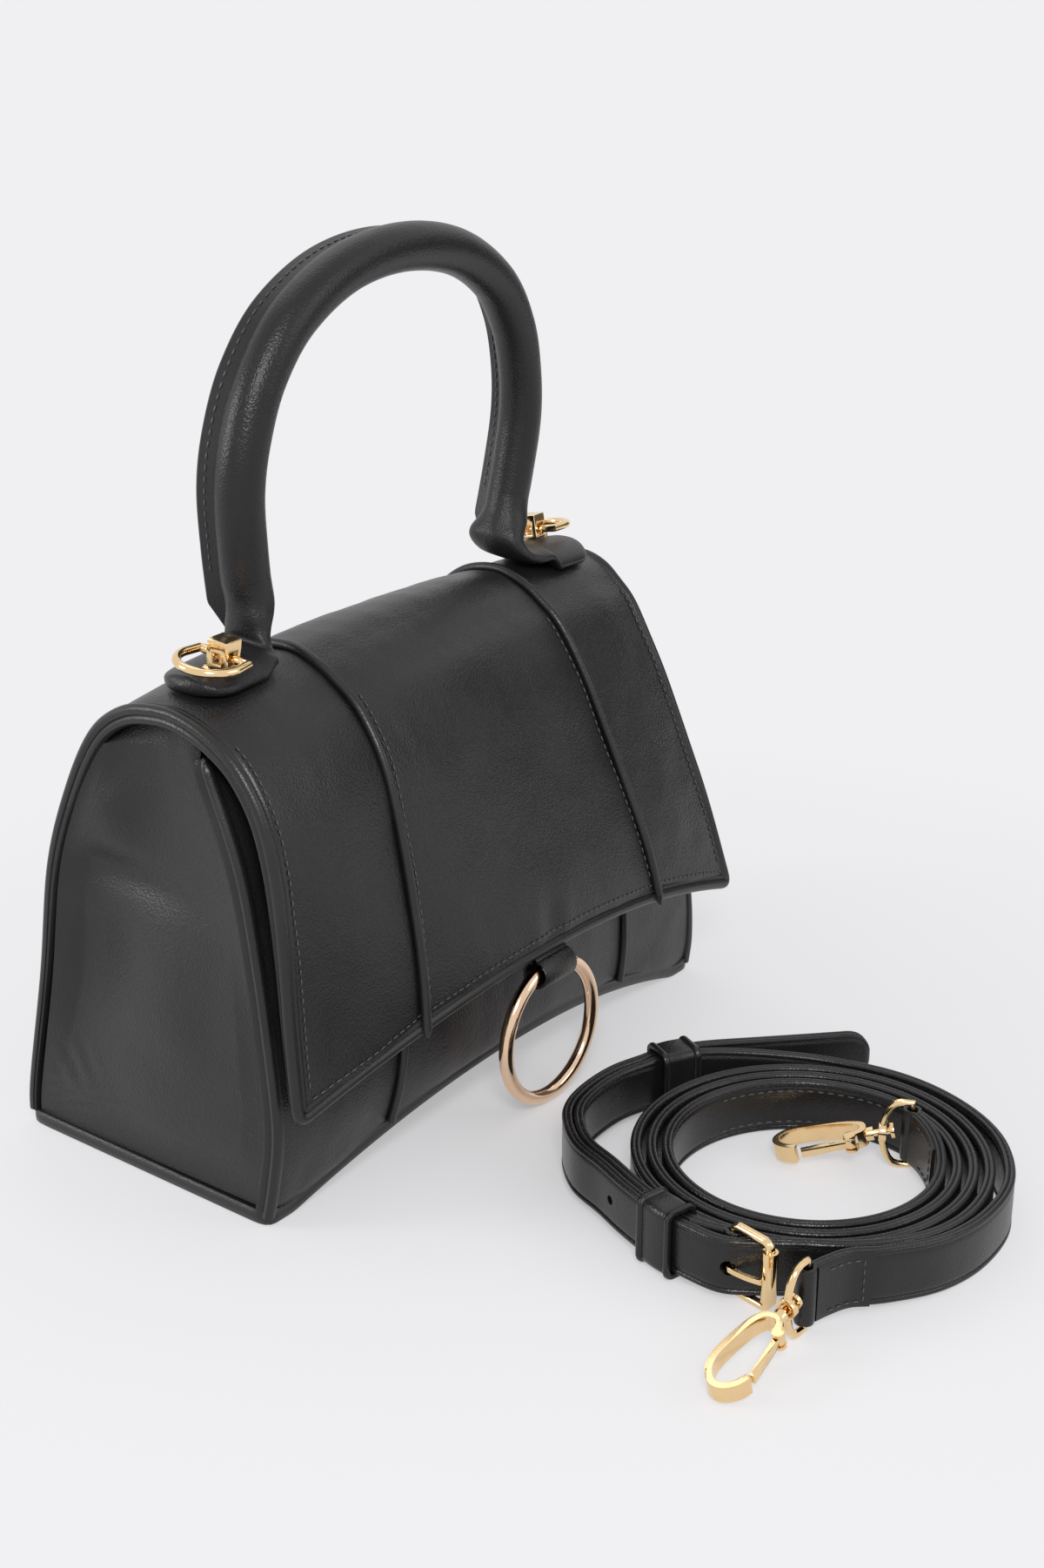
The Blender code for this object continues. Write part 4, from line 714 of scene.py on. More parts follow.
# Edge binding: one leather strip folded over the raw edges, from the base up the back corners, over the
# crown's ends, down the flap's sides and along its edge, with a row of stitches beside it.
band_section = np.array([
    (-0.0036, 0.0009), (-0.0029, 0.0017), (-0.0022, 0.0018), (-0.0016, 0.0013), (-0.0011, 0.0018),
    (-0.0002, 0.0022), (0.0009, 0.0020), (0.0017, 0.0013), (0.0020, 0.0003), (0.0018, -0.0007),
    (0.0012, -0.0012), (0.0017, -0.0017), (0.0020, -0.0026), (0.0017, -0.0036), (0.0006, -0.0042),
    (-0.0016, -0.0041), (-0.0030, -0.0034), (-0.0036, -0.0010)])
side_shares = np.linspace(0.0, 1.0, 240)
edge_xs = np.linspace(-PIPE_X, PIPE_X, 260)
rim, rim_face = [], []
for sign in (-1, 1):
    foot, end = at_x(back_foot, sign * PIPE_X), at_x(flap_foot, sign * PIPE_X)
    arcs = mix(foot, end, side_shares)
    rim.append(OVER.at(sign * PIPE_X, arcs, FLAP_THICK / 2)[::-sign])
    rim_face.append(OVER.outward(sign * PIPE_X, arcs)[::-sign])
bottom_arcs = at_x(flap_foot, edge_xs)
rim.insert(1, OVER.at(edge_xs, bottom_arcs, FLAP_THICK / 2)[2:-2])
rim_face.insert(1, OVER.outward(edge_xs, bottom_arcs)[2:-2])
rim, rim_face = np.vstack(rim), np.vstack(rim_face)
for _ in range(6):
    rim[1:-1] = (rim[:-2] + 2 * rim[1:-1] + rim[2:]) / 4

# The strip is deepest over the crown, where the lining is turned out inside it, and thin along the flap.
depth_share = np.clip((rim[:, 2] - flap_edge(0.0)) / (0.5 * BAG_HEIGHT), 0.0, 1.0)
depth_share = np.where(rim_face[:, 1] > 0.15, 0.45 + 0.55 * depth_share, 0.20 + 0.80 * depth_share)
BAND_WAIST = -0.0007
band_sections = np.repeat(band_section[None], len(rim), 0)
below = np.minimum(band_sections[..., 1] - BAND_WAIST, 0.0)
band_sections[..., 1] += below * (depth_share[:, None] - 1)
binding = swept("edge_binding", rim, band_sections, rim_face)
fit(binding, edge_calf, "black_edge", ACROSS_HINGE,
    "back_piping_left", "back_piping_right", "flap_edge_piping")

xs = np.linspace(-PIPE_X + 0.0046, PIPE_X - 0.0046, 300)
arc = at_x(flap_foot, xs) - EDGE_STITCH_UP
low_seam = seam_x(0.97)
depth = np.select([xs < -low_seam, xs > low_seam], [
    over_depth(xs, arc, PIECE_SEEDS["left"]), over_depth(xs, arc, PIECE_SEEDS["right"])],
    over_depth(xs, arc, PIECE_SEEDS["centre"]))
made = stitched("flap_edge_stitches", OVER.at(xs, arc, depth - STITCH_SINK), OVER.outward(xs, arc))
fit(made, thread, "black_edge", "flap")
for side, sign in SIDES:
    arcs = np.linspace(0.004, at_x(flap_foot, sign * 0.11) - 0.006, 200)
    x = np.full_like(arcs, sign * (PIPE_X - SIDE_STITCH_IN))
    face = OVER.at(x, arcs, over_depth(x, arcs, PIECE_SEEDS[side]) - STITCH_SINK)
    made = stitched(f"flap_side_stitches_{side}", face, OVER.outward(x, arcs))
    fit(made, thread, "black_edge", "flap")


# Body piping: the same strip over a cord, sewn in at the two front corners and, flatter, in one closed
# loop all round the base.
corner_section = np.array([
    (-0.0019, 0.0008), (-0.0012, 0.0019), (0.0001, 0.0023), (0.0014, 0.0018), (0.0022, 0.0006),
    (0.0020, -0.0006), (0.0013, -0.0013), (0.0019, -0.0020), (0.0022, -0.0031), (0.0017, -0.0041),
    (0.0005, -0.0046), (-0.0014, -0.0043), (-0.0019, -0.0018)])
for side, sign in SIDES:
    arcs = np.linspace(0.0, at_x(front_foot, sign * PIPE_X) + 0.002, 160)
    path = FRONT.at(sign * PIPE_X, arcs, PIPE_RADIUS)
    section = tapered(corner_section * [-sign, 1], len(path), "near", 0.35)
    made = swept(f"front_corner_piping_{side}", path, section, FRONT.outward(sign * PIPE_X, arcs))
    fit(made, edge_calf, "black_edge", "bag", f"front_piping_{side}")

BASE_BAND = 0.0027
base_xs = np.linspace(-PIPE_X, PIPE_X, 200)
front_low = at_x(FRONT.meeting(arch(XS) + PIPE_RADIUS, True), base_xs)
back_low = at_x(OVER.meeting(arch(XS) + PIPE_RADIUS, False), base_xs)
front_y = FRONT.at(base_xs, front_low)[:, 1] + PIPE_RADIUS
back_y = OVER.at(base_xs, back_low)[:, 1] - PIPE_RADIUS
lift = arch(base_xs) + BASE_BAND


def base_end(x, start, stop, height):
    return np.column_stack([np.full(40, x), np.linspace(start, stop, 42)[1:-1], np.full(40, height)])


loop = np.vstack([
    np.column_stack([base_xs, front_y, lift]), base_end(PIPE_X, front_y[-1], back_y[-1], lift[-1]),
    np.column_stack([base_xs, back_y, lift])[::-1], base_end(-PIPE_X, back_y[0], front_y[0], lift[0]),
])
for _ in range(3):
    loop = (np.roll(loop, 1, 0) + 2 * loop + np.roll(loop, -1, 0)) / 4
base_section = np.array([
    (0.0012, -0.0027), (0.0019, -0.0020), (0.0021, 0.0), (0.0019, 0.0013), (0.0023, 0.0020),
    (0.0019, 0.0027), (0.0008, 0.0027), (-0.0012, 0.0025), (-0.0019, 0.0018), (-0.0020, -0.0018),
    (-0.0012, -0.0026)])
made = swept("base_binding", loop, base_section, (0.0, 0.0, 1.0), closed=True)
fit(made, edge_calf, "black_edge", "bag", "base_piping")


# Base and linings: a leather base under a fibre board, and a dark cotton lining inside the body, down
# each end and under the flap.
BOARD_THICK, LINING_CORNER, GUSSET_TOP = 0.0020, 0.0100, 0.885


def woven(place, direction, scale, distortion):
    sockets = {"Vector": place, "Scale": scale, "Distortion": distortion}
    return place.nodes.add("ShaderNodeTexWave", {"bands_direction": direction}, sockets, "Fac")


place, finish = material("lining_cotton")
warp, weft = woven(place, "X", 450.0, 0.6), woven(place, "Z", 450.0, 0.6)
faded = noise(place, 30.0, 3.0)
cotton = finish(
    blended(warp * 0.4 + weft * 0.3 + faded * 0.3, (0.020, 0.018, 0.017, 1.0), (0.060, 0.056, 0.052, 1.0)),
    0.82 + faded * 0.1, Normal=bumped(warp + weft, 0.5))

base_half = PIPE_X - PIPE_RADIUS - 0.0005
front_edge = front_y - PIPE_RADIUS + PIPE_BAND
back_edge = back_y + PIPE_RADIUS - PIPE_BAND


def base_shape(u, v):
    x = mix(-base_half, base_half, u)
    y = mix(np.interp(x, base_xs, front_edge), np.interp(x, base_xs, back_edge), v)
    near_end = np.minimum(u, 1 - u) * 2 * base_half
    near_side = np.minimum(v, 1 - v) * (back_edge[0] - front_edge[0])
    return np.column_stack([x, y, arch(x) + pulled_in(np.minimum(near_end, near_side), 0.0006, 0.002)])


made = panel("base_leather", 120, 60, base_shape, (0.0, 0.0, -1.0), LEATHER)
fit(made, black_calf, "black_leather", "bag", "base_panel")

place, finish = material("grey_board")
fibres = noise(place, 700.0, 5.0)
board = finish(
    blended(fibres, (0.24, 0.19, 0.13, 1.0), (0.40, 0.33, 0.24, 1.0)), 0.8 + fibres * 0.15,
    Normal=bumped(fibres, 0.4))
frame["nodes"]["base_board"].data.materials.clear()
frame["nodes"]["base_board"].data.materials.append(board)

lining_half = base_half - 0.0014 - LAYER_GAP


def lining_floor(x):
    return arch(x) + LEATHER + BOARD_THICK + 2 * LAYER_GAP


lining_front = FRONT.meeting(lining_floor(XS) + LINING_CORNER, True)
lining_back = OVER.meeting(lining_floor(XS) + LINING_CORNER, False)
lining_top = OVER.meeting(np.full_like(XS, BAG_HEIGHT * GUSSET_TOP), False)


def lining_path(x):
    """One line of the lining: down the front, over the board and up the back."""
    depth = LEATHER + 2 * LAYER_GAP
    down = FRONT.at(x, np.linspace(PIPE_BAND, at_x(lining_front, x), 40), depth)
    up = OVER.at(x, np.linspace(at_x(lining_back, x), at_x(lining_top, x), 50), depth)
    y_front, y_back = down[-1, 1] + LINING_CORNER, up[0, 1] - LINING_CORNER
    turns = np.linspace(0.0, math.pi / 2, 10)[1:-1]
    out, rise = LINING_CORNER * np.cos(turns), LINING_CORNER * (1 - np.sin(turns))
    y = np.concatenate([y_front - out, np.linspace(y_front, y_back, 12), (y_back + out)[::-1]])
    z = np.concatenate([rise, np.zeros(12), rise[::-1]]) + lining_floor(x)
    return np.vstack([down, np.column_stack([np.full(len(y), x), y, z]), up])


lining_grid = np.array([lining_path(x) for x in np.linspace(-lining_half, lining_half, 61)])
columns, rows = lining_grid.shape[0] - 1, lining_grid.shape[1] - 1
made = panel("body_lining", columns, rows, lambda u, v: lining_grid[
    np.rint(u * columns).astype(int), np.rint(v * rows).astype(int)], (0.0, 0.0, -1.0), LINING)
fit(made, cotton, "lining_cloth", "bag", "lining_body")


def flap_lining_shape(u, v):
    x = mix(-base_half, base_half, u)
    arc = mix(0.0006, at_x(flap_foot, x) - PIPE_RADIUS - 0.0004, v)
    return OVER.at(x, arc, LEATHER + LAYER_GAP + 0.00015 * (1 + ripple(x, arc, 0.03, 5)))


made = panel("flap_inside", 90, 120, flap_lining_shape, (0.0, -1.0, 0.5), LINING)
fit(made, cotton, "lining_cloth", "flap", "flap_lining")


# Gussets: a leather end piece between the front and the back, soft enough to fold inward towards the
# mouth, with its creases, and a cotton lining behind it.
def gusset_rails(sign, v):
    band = PIPE_BAND + LAYER_GAP
    x = sign * PIPE_X
    front = FRONT.at(x, v * at_x(front_foot, x), band)
    low = at_x(OVER.meeting(np.full_like(XS, PIPE_BAND), False), x)
    high = at_x(lining_top, x)
    return front, OVER.at(x, mix(high, low, v), band)


def under_crown(sign, u):
    """The line just under the crown, from above the gusset's front edge, u = 0, to its back edge."""
    x, depth = sign * PIPE_X, FLAP_THICK + 2 * LAYER_GAP
    front, _ = gusset_rails(sign, np.zeros(1))
    arcs = np.linspace(at_x(lining_top, x), 0.03, 300)
    start = np.interp(-front[0, 1], -OVER.at(x, arcs, depth)[:, 1], arcs)
    return OVER.at(x, mix(start, arcs[0], u), depth)


def hump(u, v, u0, v0, wide, tall):
    return np.exp(-((u - u0) / wide) ** 2 - ((v - v0) / tall) ** 2)


GUSSET_BULGES = (
    (0.0034, 0.80, 0.19, 0.17, 0.10), (0.0038, 0.40, 0.64, 0.34, 0.28),
    (-0.0052, 0.85, 0.57, 0.20, 0.21), (-0.0030, 0.75, 0.345, 0.45, 0.05),
)


def gusset_relief(u, v, sign):
    """How far soft leather stands out from the plain end: bulges, the fold down its back edge, wrinkles."""
    out = sum(size * hump(u, v, *spot) for size, *spot in GUSSET_BULGES)
    out = out - 0.0026 * np.clip((v - 0.86) / 0.14, 0.0, 1.0) ** 2
    folds = np.sin(2 * math.pi * (v * 30 + 1.6 * np.sin(u * 5.0 + sign)) + 4 * u)
    out = out + 0.00040 * folds * hump(u, v, 0.90, 0.92, 0.26, 0.045)
    out = out + 0.00022 * np.sin(2 * math.pi * (u * 9 + v * 13)) * hump(u, v, 0.86, 0.83, 0.10, 0.06)
    return out + 0.00022 * ripple(u * 0.11, v * 0.15, 0.034, 2 + sign)


def gusset_shape(sign, inset, down, soft):
    """An end piece this far inside the leather's face. Only the soft leather runs on under the crown."""
    top = -0.10 if soft else 0.0

    def shape(u, v):
        v = mix(top, down, v)
        front, back = gusset_rails(sign, np.maximum(v, 0.0))
        rise = np.clip((0.94 - v) / 0.7, 0.0, 1.0)
        rise = rise * rise * (3 - 2 * rise)
        point = mix(front, back, u[:, None])
        edges = np.minimum(np.minimum(u, 1 - u) * 11, 1.0) * np.minimum((1 - v) * 10, 1.0)
        inward = 0.0060 * np.sin(math.pi * u) ** 0.8 * rise - gusset_relief(u, v, sign) * edges
        if soft:
            point = mix(point, under_crown(sign, u), np.clip(v / top, 0.0, 1.0)[:, None])
            inward = inward + 0.0022 * np.clip((0.03 - v) / 0.13, 0.0, 1.0) ** 1.5
        else:
            inward = np.maximum(inward, 0.0100 * np.sin(math.pi * u) ** 1.5 * rise)
        point[:, 0] = sign * (PIPE_X + LEATHER / 2 - inset - inward)
        return point
    return shape


for side, sign in SIDES:
    shape = gusset_shape(sign, 0.0, 1.0, True)
    made = panel(f"gusset_leather_{side}", 120, 200, shape, (sign, 0.0, 0.0), LEATHER)
    fit(made, black_calf, "black_leather", "bag", f"gusset_{side}")
    shape = gusset_shape(sign, LEATHER + 0.0014, 0.955, False)
    made = panel(f"end_lining_{side}", 50, 80, shape, (sign, 0.0, 0.0), LINING)
    fit(made, cotton, "lining_cloth", "bag", f"lining_{side}")


# Handle: a cord covered in leather, whose two ends flatten out and turn away from each other into
# rounded tabs that are sewn to the crown.
HANDLE_RADIUS, HANDLE_RISE, HANDLE_LEAN = 0.00775, 0.1060, math.radians(5.0)
FOOT_HALF, FOOT_BACK = 0.0710, 0.0040
TAB_INNER, TAB_LENGTH, TAB_WIDTH, TAB_THICK = 0.0635, 0.0460, 0.0260, 0.0050
TAB_TOP, TAB_HALF = LAYER_GAP + TAB_THICK, TAB_THICK / 2 + 0.0003
NECK_END, NECK_SPAN, TUBE_START, CORE_START, CORE_RADIUS = 0.0125, 0.0065, 0.0105, 0.0130, 0.0052
HANDLE_SHARES = (
    (1.000, 0.000), (1.056, 0.189), (1.090, 0.377), (1.056, 0.538),
    (0.958, 0.698), (0.760, 0.849), (0.420, 0.962), (0.000, 1.000),
)
crown = {sign: float(OVER.row_arc(sign * FOOT_HALF, CROWN_ROW)) for sign in (-1, 1)}
foot = {
    sign: Vector(OVER.at(sign * FOOT_HALF, crown[sign] - FOOT_BACK, -TAB_TOP - 0.0005 - HANDLE_RADIUS))
    for sign in (-1, 1)
}
handle_middle = (foot[-1] + foot[1]) / 2
handle_centre = np.array(handle_middle)
handle_half = (foot[1] - foot[-1]).length / 2
handle_x = (foot[1] - foot[-1]).normalized()
handle_back = handle_x.cross(Vector((0, 0, 1))).normalized() * -1
handle_up = (Matrix.Rotation(HANDLE_LEAN, 4, handle_x) @ handle_x.cross(handle_back)).normalized()
if handle_up.z < 0:
    handle_up = -handle_up
handle_back = handle_up.cross(handle_x).normalized()
half_line = np.array([(-w * handle_half, h * HANDLE_RISE) for w, h in HANDLE_SHARES])
handle_flat = smooth(np.vstack([half_line, half_line[-2::-1] * [-1, 1]]), 16)
handle_line = (
    handle_centre + handle_flat[:, :1] * np.array(handle_x) + handle_flat[:, 1:] * np.array(handle_up))

# Rings from the tip of the left tab over the handle to the tip of the right one. A tab lies on the crown;
# at its inner end it turns up into a flat neck, which fills out into the round handle.
NECKS = {
    -1: ((0.0094, 0.0029, 0.0028, 0.0126, 0.0000, 90.0), (0.0066, 0.0031, 0.0029, 0.0118, 0.0006, 74.0),
         (0.0048, 0.0047, 0.0032, 0.0101, 0.0020, 48.0), (0.0040, 0.0072, 0.0039, 0.0087, 0.0034, 22.0),
         (0.0028, 0.0101, 0.0054, 0.0082, 0.0043, 6.0), (0.0019, 0.0136, 0.0067, 0.0080, 0.0045, 0.0),
         (0.0013, 0.0178, 0.0075, 0.0078, 0.0045, 0.0)),
    1: ((0.0085, 0.0031, 0.0025, 0.0128, 0.0000, 90.0), (0.0022, 0.0034, 0.0027, 0.0124, 0.0008, 80.0),
        (-0.0026, 0.0052, 0.0031, 0.0120, 0.0026, 45.0), (-0.0046, 0.0088, 0.0048, 0.0115, 0.0048, 12.0),
        (-0.0040, 0.0122, 0.0063, 0.0106, 0.0054, 3.0), (-0.0024, 0.0158, 0.0073, 0.0092, 0.0048, 0.0),
        (-0.0007, 0.0198, 0.0077, 0.0079, 0.0041, 0.0)),
}
RING_SIDES = 40
turns = np.arange(RING_SIDES) * 2 * math.pi / RING_SIDES


def oval(centre, across, upper, half, thick, power):
    c, s = squared(turns, power)
    return np.array(centre) + np.outer(half * c, across) + np.outer(thick * s, upper)


def tab_rings(sign):
    """Rings from the tab's rounded tip to where its neck begins, following the crown."""
    outer, found = TAB_INNER + TAB_LENGTH, []
    c, s = squared(turns, 0.72)
    for t in (0.0, 0.004, 0.015, 0.035, 0.065, 0.11, 0.17, 0.25, 0.36, 0.48, 0.60, 0.72, 0.84, 0.93):
        x = outer - (outer - FOOT_HALF - 0.0110) * t
        near = min((outer - x) / (TAB_WIDTH / 2), 1.0)
        width = TAB_WIDTH / 2 * np.clip(1 - (1 - near) ** 2.6, 0.0, 1.0) ** 0.5
        thick = TAB_HALF * np.clip((outer - x) / 0.0016, 0.0, 1.0) ** 0.5
        arc = crown[sign] + max(width, 0.0004) * c
        depth = -(LAYER_GAP + TAB_HALF + max(thick, 0.0003) * s)
        found.append(OVER.at(np.full_like(arc, sign * x), arc, depth))
    return found


def ease(t):
    t = min(1.0, max(0.0, t))
    return t * t * (3 - 2 * t)


back_way, up_way = np.array(handle_back), np.array(handle_up)


def off_the_bow(line):
    """At each point of the handle's line, the way out of its bow."""
    way = np.cross(unit(np.gradient(line, axis=0)), back_way)
    return way * np.sign(np.sum(way * (line - handle_centre - up_way * 0.02), axis=1, keepdims=True))


outward = off_the_bow(handle_line)
height = (handle_line - handle_centre) @ up_way
feet, leg_rings = {}, []
for sign in (-1, 1):
    out_way = np.array(handle_x) * sign
    seat = OVER.at(sign * FOOT_HALF, crown[sign], -LAYER_GAP)
    feet[sign] = tab_rings(sign)
    leg = handle_line[(handle_line - handle_centre) @ out_way > 0.0]
    leg_height = (leg - seat) @ up_way
    leg = leg[np.argsort(leg_height)]
    for out, up, thick, half, back, tilt in NECKS[sign]:
        tilt = math.radians(tilt)
        upper = unit(out_way * math.cos(tilt) + up_way * math.sin(tilt))
        centre = seat + out_way * out + up_way * up + back_way * back
        onto_leg = np.array([np.interp(up, np.sort(leg_height), column) for column in leg.T])
        centre = mix(centre, onto_leg, 0.75 * ease((up - NECK_END) / NECK_SPAN))
        feet[sign].append(oval(centre, -back_way, upper, half, thick, mix(0.95, 0.75, math.sin(tilt))))
for i in np.flatnonzero(height > TUBE_START):
    radius = HANDLE_RADIUS * (1 + 0.010 * math.sin(i * 0.061) + 0.006 * math.sin(i * 0.17))
    leg_rings.append(oval(handle_line[i], -back_way, outward[i], radius, radius, 1.0))
rings = np.array(feet[-1] + leg_rings[::2] + feet[1][::-1])
handle_rings = smooth(rings.reshape(len(rings), -1), 3).reshape(-1, RING_SIDES, 3)
creases = 0.00035 * ripple(handle_rings[..., 0] * 3, handle_rings[..., 1] * 2, 0.022, 4)
near_foot = np.exp(-np.maximum((handle_rings - handle_centre) @ up_way - 0.002, 0.0) / 0.006)
near_foot *= np.exp(-np.maximum(np.abs(handle_rings[..., 0]) - 0.078, 0.0) / 0.004)
middles = handle_rings.mean(axis=1, keepdims=True)
handle_rings += unit(handle_rings - middles + 1e-9) * (creases * near_foot)[..., None]
made = rolled("handle_leather", handle_rings)
smooth_faces(made, 180.0)
handle_foot = Vector((handle_middle.x, handle_middle.y, handle_middle.z - 0.008))
above_feet = ("bag", "handle", tuple(handle_foot), tuple(handle_foot + handle_up * 0.020))
handle_calf = calf(
    "handle_calf", (0.0066, 0.0066, 0.0074, 1.0), (0.0125, 0.0122, 0.0128, 1.0), 0.31, 0.45, gloss=0.36)
fit(made, handle_calf, "black_leather", above_feet, "handle_cover", "handle_tab_left", "handle_tab_right")

place, finish = material("handle_cord_cotton")
lay = woven(place, "DIAGONAL", 220.0, 1.0)
cord_white = finish(blended(lay, (0.50, 0.47, 0.40, 1.0), (0.74, 0.71, 0.64, 1.0)), 0.85 + lay * 0.1)


def from_ends(line):
    """For each point of the line, how many points it is from the nearer end."""
    return np.minimum(np.arange(len(line)), np.arange(len(line))[::-1])


inside = handle_line[height > CORE_START]
core_radius = CORE_RADIUS * np.sqrt(np.clip(from_ends(inside) / 10 + 0.2, 0.0, 1.0))
cord_sections = round_section(1.0, 1.0, 20)[None] * core_radius[:, None, None]
made = swept("handle_cord", inside, cord_sections, back_way)
fit(made, cord_white, "handle_cord", "handle", "handle_core")

# Handle welt: the two edges of the handle's leather, stitched together along its back, turned a little
# outwards and cut off slantwise at each foot.
WELT_WIDTH, WELT_THICK, WELT_BELOW, WELT_TURN = 0.0062, 0.0034, 0.0062, math.radians(13.0)
WELT_STEP = 0.0016
first, last = unit(handle_line[0] - handle_line[1]), unit(handle_line[-1] - handle_line[-2])
welt_line = resampled(np.vstack([
    handle_line[:1] + first * WELT_BELOW, handle_line, handle_line[-1:] + last * WELT_BELOW]), WELT_STEP)
reach = WELT_WIDTH * np.clip(from_ends(welt_line) * WELT_STEP / 0.0088 + 0.04, 0.0, 1.0)
edge_ply = np.array([
    (-0.5, 0.0), (-0.5, 0.5), (-0.5, 0.92), (-0.36, 1.0), (-0.12, 1.0), (0.0, 0.93), (0.12, 1.0),
    (0.36, 1.0), (0.5, 0.92), (0.5, 0.5), (0.5, 0.0)])
welt_sections = np.stack([
    edge_ply * [WELT_THICK, r + 0.0006] + [0.0, HANDLE_RADIUS * 0.93] for r in reach])
ahead = unit(np.gradient(welt_line, axis=0))
welt_way = unit(back_way * math.cos(WELT_TURN) + off_the_bow(welt_line) * math.sin(WELT_TURN))
welt = swept("handle_welt_leather", welt_line, welt_sections, welt_way)
fit(welt, edge_calf, "black_leather", "handle", "handle_welt")
flank = np.cross(ahead, welt_way)
for name, way in (("outer", 1), ("inner", -1)):
    path = (welt_line + welt_way * (HANDLE_RADIUS + 0.0032) + flank * way * (WELT_THICK / 2))[12:-12]
    made = stitched(f"welt_stitches_{name}", path, flank[12:-12] * way, 0.0036, 0.0026, 0.00030)
    fit(made, thread, "black_edge", "handle")


# Posts, D-rings and rivets: cast fittings in pale gold. Each post is a square cage on its tab, the
# D-ring passes through it, and a rivet holds the tab's tip.
def gold(name, colour, deep, rough):
    """Plated metal: mirror-bright, with faint swirls of polishing and a warmer tone in places."""
    place, finish = material(name, 1.0)
    haze, fine = noise(place, 160.0, 4.0), noise(place, 1800.0, 2.0)
    return finish(
        blended(haze, colour, deep), rough + haze * 0.08 + fine * 0.04, Normal=bumped(fine + haze, 0.06))


pale_gold = gold("pale_gold_plate", (0.93, 0.72, 0.42, 1.0), (0.82, 0.56, 0.28, 1.0), 0.065)
rose_gold = gold("rose_gold_plate", (0.90, 0.66, 0.47, 1.0), (0.80, 0.54, 0.36, 1.0), 0.045)


def bevelled(node, name, width):
    """The CAD solid with its edges rounded as a casting's are."""
    source = frame["nodes"][node]
    made = bpy.data.objects.new(name, source.data.copy())
    bpy.context.scene.collection.objects.link(made)
    sewn(made)
    press(made, "BEVEL", width=width, segments=3, limit_method="ANGLE", angle_limit=math.radians(35.0))
    smooth_faces(made)
    return made


for side in ("left", "right"):
    made = bevelled(f"post_{side}", f"post_cage_{side}", 0.0005)
    fit(made, pale_gold, "pale_gold", "bag", f"post_{side}")

DRING_WIRE, DRING_WIDTH, DRING_REACH = 0.0014, 0.0206, 0.0160
POST_OUT, POST_FORWARD = 0.0955, {-1: 0.0045, 1: -0.0060}
for side, sign in SIDES:
    arc = crown[sign] + POST_FORWARD[sign]
    seat = Vector(OVER.at(sign * POST_OUT, arc, -TAB_TOP - 0.0008))
    up = Vector(OVER.outward(sign * POST_OUT, arc))
    along = Vector(OVER.at(sign * POST_OUT + 0.004, arc)) - Vector(OVER.at(sign * POST_OUT - 0.004, arc))
    back = up.cross(along).normalized()
    along = back.cross(up).normalized()
    post_frame = Matrix((along, back, up)).transposed().to_4x4()
    post_frame.translation = seat + up * 0.0033
    line = [(0.0, DRING_WIDTH / 2 * t) for t in np.linspace(-0.92, 0.92, 14)]
    for t in np.linspace(1.0, -1.0, 72)[1:-1]:
        turn, half = math.pi / 2 * t, DRING_WIDTH / 2
        line.append((sign * (DRING_REACH - half + half * math.cos(turn)), half * math.sin(turn)))
    path = np.array([post_frame @ Vector((x, y, 0.0)) for x, y in line])
    section = round_section(DRING_WIRE, DRING_WIRE, 24)
    made = swept(f"d_ring_{side}", path, section, np.array(up), closed=True)
    fit(made, pale_gold, "pale_gold", f"dring_{side}", f"dring_{side}")
    low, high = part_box(f"rivet_{side}")
    spot, head = np.array((low + high) / 2), (high.x - low.x) / 2
    arcs = np.linspace(crown[sign] - 0.03, crown[sign] + 0.03, 241)
    faces = OVER.at(spot[0], arcs, -TAB_TOP)
    nearest = int(np.argmin(np.linalg.norm(faces - spot, axis=1)))
    axis = OVER.outward(spot[0], arcs[nearest])
    base, top = float((faces[nearest] - spot) @ axis) / head, 0.96
    dome = smooth([
        (0.01, base - 0.3), (0.70, base - 0.3), (0.98, base - 0.05), (1.0, base + 0.08),
        (0.94, base + 0.18), (0.80, base + 0.21), (0.76, mix(base, top, 0.42)),
        (0.62, mix(base, top, 0.72)), (0.36, mix(base, top, 0.93)), (0.01, top)], 4) * head
    across = unit(np.cross(axis, [0.0, 1.0, 0.0]))
    c, s = squared(np.arange(36) * 2 * math.pi / 36, 1.0)
    round_way = np.outer(c, across) + np.outer(s, np.cross(axis, across))
    made = rolled(f"rivet_head_{side}", spot + dome[:, :1, None] * round_way + dome[:, 1:, None] * axis)
    smooth_faces(made, 50.0)
    fit(made, pale_gold, "pale_gold", "bag", f"rivet_{side}")


# Ring pull: a drawn wire ring in rose gold, hung in a leather loop that is sewn to the inside of the
# flap under its edge.
RING_RADIUS, RING_WIRE, LOOP_WIDTH, LOOP_THICK = 0.02448, 0.0025, 0.0170, 0.0015
low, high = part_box("ring")
ring_middle = (low + high) / 2
bpy.ops.object.select_all(action="DESELECT")
bpy.ops.mesh.primitive_torus_add(
    major_segments=128, minor_segments=24, major_radius=RING_RADIUS, minor_radius=RING_WIRE,
    location=ring_middle, rotation=(math.pi / 2, 0.0, 0.0))
ring = bpy.context.active_object
ring.name = "ring_pull"
bpy.ops.object.transform_apply(location=True, rotation=True)
smooth_faces(ring, 180.0)
fit(ring, rose_gold, "rose_gold", "ring", "ring")

ring_sag = RING_RADIUS - math.sqrt(RING_RADIUS**2 - (LOOP_WIDTH / 2) ** 2)
loop_middle = np.array([ring_middle.y, ring_middle.z + RING_RADIUS - ring_sag / 2])
loop_radius = RING_WIRE + ring_sag / 2 + 0.0007 + LOOP_THICK / 2


